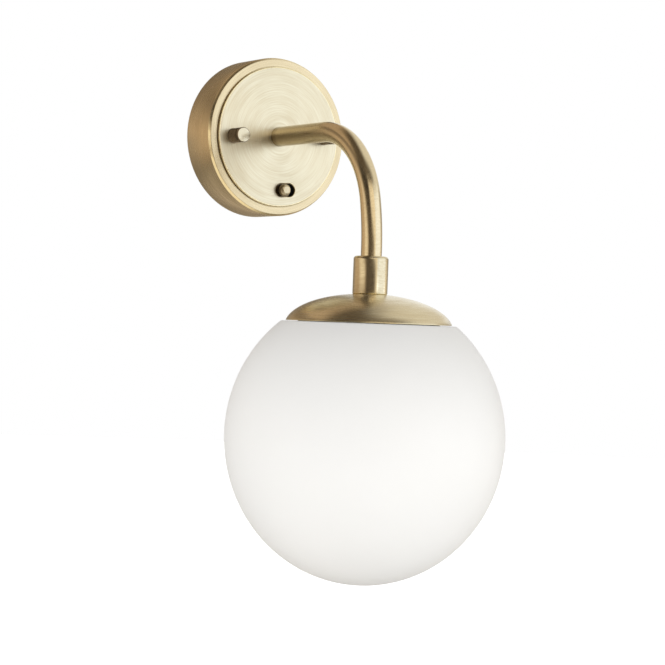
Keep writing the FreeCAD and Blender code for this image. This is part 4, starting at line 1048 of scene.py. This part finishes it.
class SCONCE_OT_globe(bpy.types.Operator):
    """Blows the opal globe with its shoulder and neck"""

    bl_idname = "sconce.globe"
    bl_label = "Globe"

    def execute(self, context):
        sizes = context.scene.sconce_sizes
        wide, tall, neck = sizes.globe_half_width, sizes.globe_half_height, sizes.neck_radius
        centre = GLOBE_BOTTOM + tall
        shoulder = CAP_RIM - sizes.shoulder_gap
        curve = oval(centre, wide, tall, asin((shoulder - centre) / tall), -pi / 2, GLOBE_STEPS)
        outline = [(NECK_TOP, neck), (shoulder, neck)] + curve[:-1] + [(GLOBE_BOTTOM, 0)]
        piece = turned("globe_glass", "Z", LAMP_AXIS, outline, sizes.around, False)
        bevel_rings(piece, "Z", LAMP_AXIS, [curve[0]], sizes.shoulder_round, 5)
        bevel_rings(piece, "Z", LAMP_AXIS, [(shoulder, neck)], sizes.shoulder_round, 4)
        close_edit(SMOOTH_GLASS)
        give_wall(piece, sizes.glass_wall, SMOOTH_GLASS)
        place(piece, "opal_glass", "globe", "opal_glass", "globe")
        return {"FINISHED"}


class SCONCE_OT_bulb(bpy.types.Operator):
    """Blows the small round bulb"""

    bl_idname = "sconce.bulb"
    bl_label = "Bulb"

    def execute(self, context):
        sizes = context.scene.sconce_sizes
        low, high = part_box("bulb_glass")
        radius, base = sizes.bulb_radius, sizes.bulb_base_radius
        centre = low.z + radius
        rise = high.z - centre
        taper = asin(radius / hypot(rise, base)) - atan(base / rise)
        curve = oval(centre, radius, radius, taper, -pi / 2, BULB_STEPS)
        outline = [(high.z, base)] + curve[:-1] + [(low.z, 0)]
        piece = turned("bulb_ball", "Z", LAMP_AXIS, outline, sizes.small_around, False)
        close_edit(SMOOTH_GLASS)
        give_wall(piece, sizes.bulb_wall, SMOOTH_GLASS)
        place(piece, "bulb_glass", "bulb", "bulb_glass", "bulb_glass")
        return {"FINISHED"}


class SCONCE_OT_lampholder(bpy.types.Operator):
    """Moulds the two halves of the lampholder"""

    bl_idname = "sconce.lampholder"
    bl_label = "Lampholder"

    def execute(self, context):
        sizes = context.scene.sconce_sizes
        radius, slope = sizes.holder_radius, sizes.holder_slope
        split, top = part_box("lampholder_cap")[0].z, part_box("lampholder_cap")[1].z
        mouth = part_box("lampholder_body")[0].z
        hole, inside = sizes.nipple_radius, radius - sizes.holder_wall
        ceiling = top - sizes.holder_head
        cap = turned("lampholder_cap_moulded", "Z", LAMP_AXIS, [
            (top, hole), (top, radius - slope), (top - slope, radius), (split, radius),
            (split, inside), (ceiling, inside), (ceiling, hole)], sizes.small_around)
        bevel_rings(cap, "Z", LAMP_AXIS, [(top, radius - slope), (top - slope, radius)],
                    slope / 8, 3)
        bevel_rings(cap, "Z", LAMP_AXIS, [(split, radius)], slope / 12, 2)
        close_edit()
        place(cap, "black_plastic", "root", "black_plastic", "lampholder_cap")

        floor, hole = split - sizes.holder_floor, sizes.holder_hole
        rib = sizes.rib_depth
        outline = [(split, hole), (split, radius)]
        for i in range(sizes.ribs):
            low = floor + sizes.rib_start - sizes.rib_pitch * i
            outline += [(low, radius), (low - rib, radius - rib),
                        (low - 3 * rib, radius - rib), (low - 4 * rib, radius)]
        outline += [(mouth, radius), (mouth, sizes.holder_bore), (floor, sizes.holder_bore),
                    (floor, hole)]
        body = turned("lampholder_body_moulded", "Z", LAMP_AXIS, outline, sizes.small_around)
        bevel_rings(body, "Z", LAMP_AXIS, [(split, radius), (mouth, radius)], slope / 12, 2)
        close_edit()
        place(body, "black_plastic", "root", "black_plastic", "lampholder_body")
        return {"FINISHED"}


# ---------------------------------------------------------------- stage

SIGHT = Vector((-0.6458, -1.0644, -0.1120))
SIGHT_YAW, SIGHT_PITCH, SIGHT_ROLL = 33.6885, -0.3093, 2.1218
LENS, SENSOR = 107.72, 36.0
FILL_BELOW, FILL_ABOVE = 1.38, 0.3
FLOOR_HEIGHT, FLOOR_RADIUS = -0.75, 9
SHADOW_RADIUS, WHITE_RADIUS = 0.5, 1.2
CARD_RADIUS, CARD_TOP, BROW_FOOT = 2.0, 1.5, 0.95
LOW_CARD_HEIGHT = FLOOR_HEIGHT + 0.01
# The open part of the curved card, in degrees right of the camera.
CARD_OPEN = (42, 108)
# The colours of the curved card lean: by how many degrees, up to which height.
CARD_LEAN, LEAN_HEIGHT = 38, 0.65
CARD_AROUND, FLAT_AROUND, FLOOR_AROUND = 180, 48, 96
SOFTBOX_SIZE, SOFTBOX_FRAME, SOFTBOX_STRENGTH = 1.6, 0.1, 1.12
# How far out the softbox stands, as a share of the cards' radius.
SOFTBOX_PLACE = 0.95
LAMP_SIZE = (1.6, 0.3)
# Each lamp: degrees right of the camera, degrees up, watts, and metres from the globe.
LAMPS = {"key_lamp": (20, -12, 3.8, 1.8), "fill_lamp": (-95, -12, 4.8, 1.8),
         "side_lamp": (95, -12, 3.4, 1.8), "low_lamp": (10, -21, 1.9, 1.0)}


def toward(side, height):
    """Unit vector from the sconce, side degrees right of the camera and height up."""
    heading = radians(SIGHT_YAW + 180 - side)
    return Vector((sin(heading) * cos(radians(height)), cos(heading) * cos(radians(height)),
                   sin(radians(height))))


def side_of(point):
    """Angle of a point right of the camera, seen from the wall's axis."""
    return (radians(SIGHT_YAW + 180) - atan2(point.x, point.y) + pi) % (2 * pi) - pi


def at_side(degrees):
    """Degrees right of the camera as a share of the whole turn, which starts behind it."""
    return (degrees + 180) / 360


def seen(tree):
    """1 where the camera, a mirror or glass looks, and 0 where a surface is lit."""
    path = add(tree, "LightPath").outputs
    return maths(tree, "MAXIMUM", path["Is Camera Ray"],
                 maths(tree, "MAXIMUM", path["Is Glossy Ray"], path["Is Transmission Ray"]))


def lies_toward(tree, position, side):
    """How far a place on a card lies toward a side."""
    return vector_maths(tree, "DOT_PRODUCT", position, toward(side, 0), "Value")


def glow_card(card):
    """Makes a card glow, only for the mirrors, and returns what its pattern needs."""
    made = bpy.data.materials.new(card.name)
    made.use_nodes = True
    tree = made.node_tree
    tree.nodes.clear()
    position = object_position(tree)
    glow = add(tree, "Emission", {"Color": (1, 1, 1, 1), "Strength": 1.0})
    tree.links.new(glow.outputs[0], add(tree, "OutputMaterial").inputs[0])
    made.cycles.emission_sampling = "NONE"
    card.data.materials.append(made)
    card.visible_camera = card.visible_diffuse = card.visible_shadow = False
    card.visible_transmission = card.visible_volume_scatter = False
    return position, tree, glow.inputs


def curved_card(name, foot, keep):
    """An upright card round the sconce, where keep holds for the angle of its foot."""
    clear_selection()
    bpy.ops.mesh.primitive_circle_add(vertices=CARD_AROUND, radius=CARD_RADIUS,
                                      location=(0, 0, foot))
    card = edit_new(name)
    choose(card, "edges", lambda edge: keep(side_of(
        (edge.verts[0].co + edge.verts[1].co) / 2)))
    extrude(z=CARD_TOP - foot)
    close_edit(outside=False)
    return glow_card(card)


def flat_card(name, height):
    """A round card overhead or underfoot."""
    clear_selection()
    bpy.ops.mesh.primitive_circle_add(vertices=FLAT_AROUND, radius=CARD_RADIUS,
                                      fill_type="NGON", location=(0, 0, height))
    card = edit_new(name)
    bpy.ops.mesh.inset(thickness=CARD_RADIUS / 2)
    close_edit(outside=False)
    return glow_card(card)


class SCONCE_OT_stage(bpy.types.Operator):
    """Sets the camera, the floor, the lamps and the cards that the metal mirrors"""

    bl_idname = "sconce.stage"
    bl_label = "Stage"

    def execute(self, context):
        scene = context.scene
        colours = scene.sconce_colours
        scene.view_settings.view_transform = "Standard"
        self.camera(scene)
        self.world(scene)
        self.floor(colours)
        self.wrap(colours)
        self.low_card(colours)
        self.top_card(colours)
        self.softbox()
        self.brow(colours)
        for name, (side, height, power, distance) in LAMPS.items():
            self.lamp(name, toward(side, height), power, distance)
        return {"FINISHED"}

    @staticmethod
    def camera(scene):
        """The photograph's viewpoint and framing."""
        turn = Euler((radians(90 + SIGHT_PITCH), 0, -radians(SIGHT_YAW))).to_matrix()
        turn = turn @ Matrix.Rotation(radians(SIGHT_ROLL), 3, "Z")
        bpy.ops.object.camera_add(location=SIGHT, rotation=turn.to_euler())
        camera = bpy.context.object
        camera.name = "camera"
        camera.data.lens = LENS
        camera.data.sensor_width = SENSOR
        camera.data.clip_start = 0.05
        scene.camera = camera

    @staticmethod
    def world(scene):
        """White where it is seen, and a soft fill, most of it from below, where it lights."""
        scene.world = bpy.data.worlds.new("studio")
        scene.world.use_nodes = True
        tree = scene.world.node_tree
        tree.nodes.clear()
        height = parts(tree, add(tree, "TexCoord").outputs["Generated"])["Z"]
        level = spread(tree, height, FILL_BELOW, FILL_ABOVE, 0.1, 0.85)
        fill = add(tree, "Background", {"Color": (1, 0.995, 0.985, 1), "Strength": level})
        white = add(tree, "Background", {"Color": (1, 1, 1, 1), "Strength": 1.0})
        mixed = add(tree, "MixShader", {0: seen(tree), 1: fill.outputs[0],
                                        2: white.outputs[0]})
        tree.links.new(mixed.outputs[0], add(tree, "OutputWorld").inputs[0])

    @staticmethod
    def floor(colours):
        """A pale floor that keeps the shadow near the sconce and goes white farther out."""
        clear_selection()
        bpy.ops.mesh.primitive_circle_add(vertices=FLOOR_AROUND, radius=FLOOR_RADIUS,
                                          fill_type="NGON", location=(0, 0, FLOOR_HEIGHT))
        floor = edit_new("floor")
        bpy.ops.object.mode_set(mode="OBJECT")
        made, tree, shader = new_material("pale_floor")
        position = object_position(tree)
        tone = blend(tree, noise(tree, position, 3.0, 4.0), colours.floor,
                     deeper(colours.floor, 0.97))
        tree.links.new(tone, shader.inputs["Base Color"])
        shader.inputs["Roughness"].default_value = 0.8
        radius = vector_maths(tree, "LENGTH", position, output="Value")
        rise = spread(tree, radius, 0.3, 1.0, SHADOW_RADIUS, WHITE_RADIUS)
        glow = add(tree, "Emission", {"Color": (1, 1, 1, 1),
                                      "Strength": maths(tree, "MULTIPLY", seen(tree), rise)})
        both = add(tree, "AddShader", {0: shader.outputs[0], 1: glow.outputs[0]})
        tree.links.new(both.outputs[0], tree.nodes["Material Output"].inputs[0])
        floor.data.materials.append(made)

    @staticmethod
    def wrap(colours):
        """The card round the sconce, open on the right: dark in front, brass-coloured aside."""
        start, end = radians(CARD_OPEN[0]), radians(CARD_OPEN[1])
        position, tree, glow = curved_card("wrap_card", FLOOR_HEIGHT,
                                           lambda side: not start < side < end)
        place_on = parts(tree, position)
        heading = maths(tree, "ARCTAN2", place_on["X"], place_on["Y"])
        side = maths(tree, "SUBTRACT", radians(SIGHT_YAW + 180), heading)
        turn = maths(tree, "FRACT", maths(tree, "DIVIDE", maths(tree, "ADD", side, pi),
                                          2 * pi))
        rise = maths(tree, "ABSOLUTE", place_on["Z"])
        leaned = maths(tree, "ADD", turn,
                       spread(tree, place_on["Z"], 0.0, CARD_LEAN / 360, 0.0, LEAN_HEIGHT))

        def strip(share, first, full, fade, last):
            """1 between full and fade, and 0 outside first and last, in degrees."""
            return maths(tree, "MULTIPLY",
                         spread(tree, share, 0.0, 1.0, at_side(first), at_side(full)),
                         spread(tree, share, 1.0, 0.0, at_side(fade), at_side(last)))

        ramp = add(tree, "ValToRGB", {"Fac": leaned})
        band = ramp.color_ramp.elements
        band.remove(band[0])
        for degrees, tone in (
                (-180, colours.back_card), (-140, colours.back_card),
                (-112, colours.side_card), (-38, colours.side_card),
                (-22, colours.front_card), (24, colours.front_card),
                (40, colours.warm_card), (CARD_OPEN[1], colours.warm_card),
                (145, colours.back_card), (180, colours.back_card)):
            band.new(at_side(degrees)).color = tone
        band.remove(band[len(band) - 1])
        lit = maths(tree, "MAXIMUM", spread(tree, rise, 1.0, 0.4, 0.2, 0.9),
                    spread(tree, turn, 0.0, 1.0, at_side(-23), at_side(-3)))
        glint = maths(tree, "MULTIPLY", strip(leaned, -82, -62, -42, -27),
                      spread(tree, rise, 1.0, 0.0, 0.15, 0.6))
        rear = maths(tree, "MULTIPLY", strip(turn, 90, 110, 155, 175),
                     spread(tree, place_on["Z"], 0.0, 1.0, 0.3, 0.8))
        tone = blend(tree, lit, (0, 0, 0, 1), ramp.outputs[0])
        tone = blend(tree, rear, tone, colours.bright_card)
        tone = blend(tree, glint, tone, colours.warm_card)
        tree.links.new(tone, glow["Color"])

    @staticmethod
    def brow(colours):
        """A bright card over the open part of the curved card."""
        start, end = radians(CARD_OPEN[0]), radians(CARD_OPEN[1])
        glow = curved_card("brow_card", BROW_FOOT, lambda side: start < side < end)[2]
        glow["Color"].default_value = colours.bright_card

    @staticmethod
    def low_card(colours):
        """Underfoot: lighter behind the sconce, with a warm strip on its left."""
        position, tree, glow = flat_card("low_card", LOW_CARD_HEIGHT)
        behind = spread(tree, lies_toward(tree, position, 168), 0.0, 1.0, 0.6, 1.2)
        tone = blend(tree, behind, colours.low_card, colours.low_bright)
        place_on = parts(tree, position)
        strip = maths(tree, "MULTIPLY",
                      spread(tree, maths(tree, "ABSOLUTE", place_on["Y"]), 1.0, 0.0, 0.3, 0.5),
                      spread(tree, place_on["X"], 1.0, 0.0, 0.0, 0.3))
        tree.links.new(blend(tree, strip, tone, colours.warm_card), glow["Color"])

    @staticmethod
    def top_card(colours):
        """Overhead: dark in front, lighter behind on the left and brightest on the right."""
        position, tree, glow = flat_card("top_card", CARD_TOP)
        left = spread(tree, lies_toward(tree, position, -135), 0.0, 0.8, 0.4, 0.85)
        right = spread(tree, lies_toward(tree, position, 90), 0.0, 1.0, -0.05, 0.5)
        front = spread(tree, lies_toward(tree, position, 0), 0.0, 1.0, 0.2, 1.0)
        tone = blend(tree, left, colours.front_card, colours.side_card)
        tone = blend(tree, right, tone, colours.bright_card)
        tree.links.new(blend(tree, front, tone, colours.front_card), glow["Color"])

    @staticmethod
    def softbox():
        """A white panel in the open part of the curved card."""
        clear_selection()
        way = toward(sum(CARD_OPEN) / 2, 0)
        bpy.ops.mesh.primitive_plane_add(size=SOFTBOX_SIZE,
                                         location=way * CARD_RADIUS * SOFTBOX_PLACE,
                                         rotation=way.to_track_quat("Z", "Y").to_euler())
        panel = edit_new("softbox")
        bpy.ops.mesh.inset(thickness=SOFTBOX_FRAME)
        close_edit(outside=False)
        glow_card(panel)[2]["Strength"].default_value = SOFTBOX_STRENGTH

    @staticmethod
    def lamp(name, way, power, distance):
        """A wide soft lamp that faces the globe and doesn't show in mirrors."""
        bpy.ops.object.light_add(type="AREA", location=middle("globe") + way * distance,
                                 rotation=way.to_track_quat("Z", "Y").to_euler())
        lamp = bpy.context.object
        lamp.name = name
        lamp.data.shape = "RECTANGLE"
        lamp.data.size, lamp.data.size_y = LAMP_SIZE
        lamp.data.energy = power
        lamp.visible_glossy = lamp.visible_camera = False


class SCONCE_PT_pieces(bpy.types.Panel):
    """Buttons for the sconce's pieces"""

    bl_idname = "SCONCE_PT_pieces"
    bl_label = "Globe wall sconce"
    bl_space_type = "VIEW_3D"
    bl_region_type = "UI"
    bl_category = "Sconce"

    def draw(self, context):
        for operator in OPERATORS:
            self.layout.operator(operator.bl_idname)


OPERATORS = (SCONCE_OT_finishes, SCONCE_OT_canopy, SCONCE_OT_face_plate,
             SCONCE_OT_knurled_nuts, SCONCE_OT_switch_knob, SCONCE_OT_arm, SCONCE_OT_collar,
             SCONCE_OT_cap, SCONCE_OT_globe, SCONCE_OT_bulb, SCONCE_OT_lampholder,
             SCONCE_OT_stage)
CLASSES = (SconceSizes, SconceColours) + OPERATORS + (SCONCE_PT_pieces,)


def register():
    for each in CLASSES:
        bpy.utils.register_class(each)
    bpy.types.Scene.sconce_sizes = PointerProperty(type=SconceSizes)
    bpy.types.Scene.sconce_colours = PointerProperty(type=SconceColours)


def unregister():
    del bpy.types.Scene.sconce_colours
    del bpy.types.Scene.sconce_sizes
    for each in reversed(CLASSES):
        bpy.utils.unregister_class(each)


def main():
    register()
    for operator in OPERATORS:
        group, name = operator.bl_idname.split(".")
        getattr(getattr(bpy.ops, group), name)()


if __name__ == "__main__":
    main()
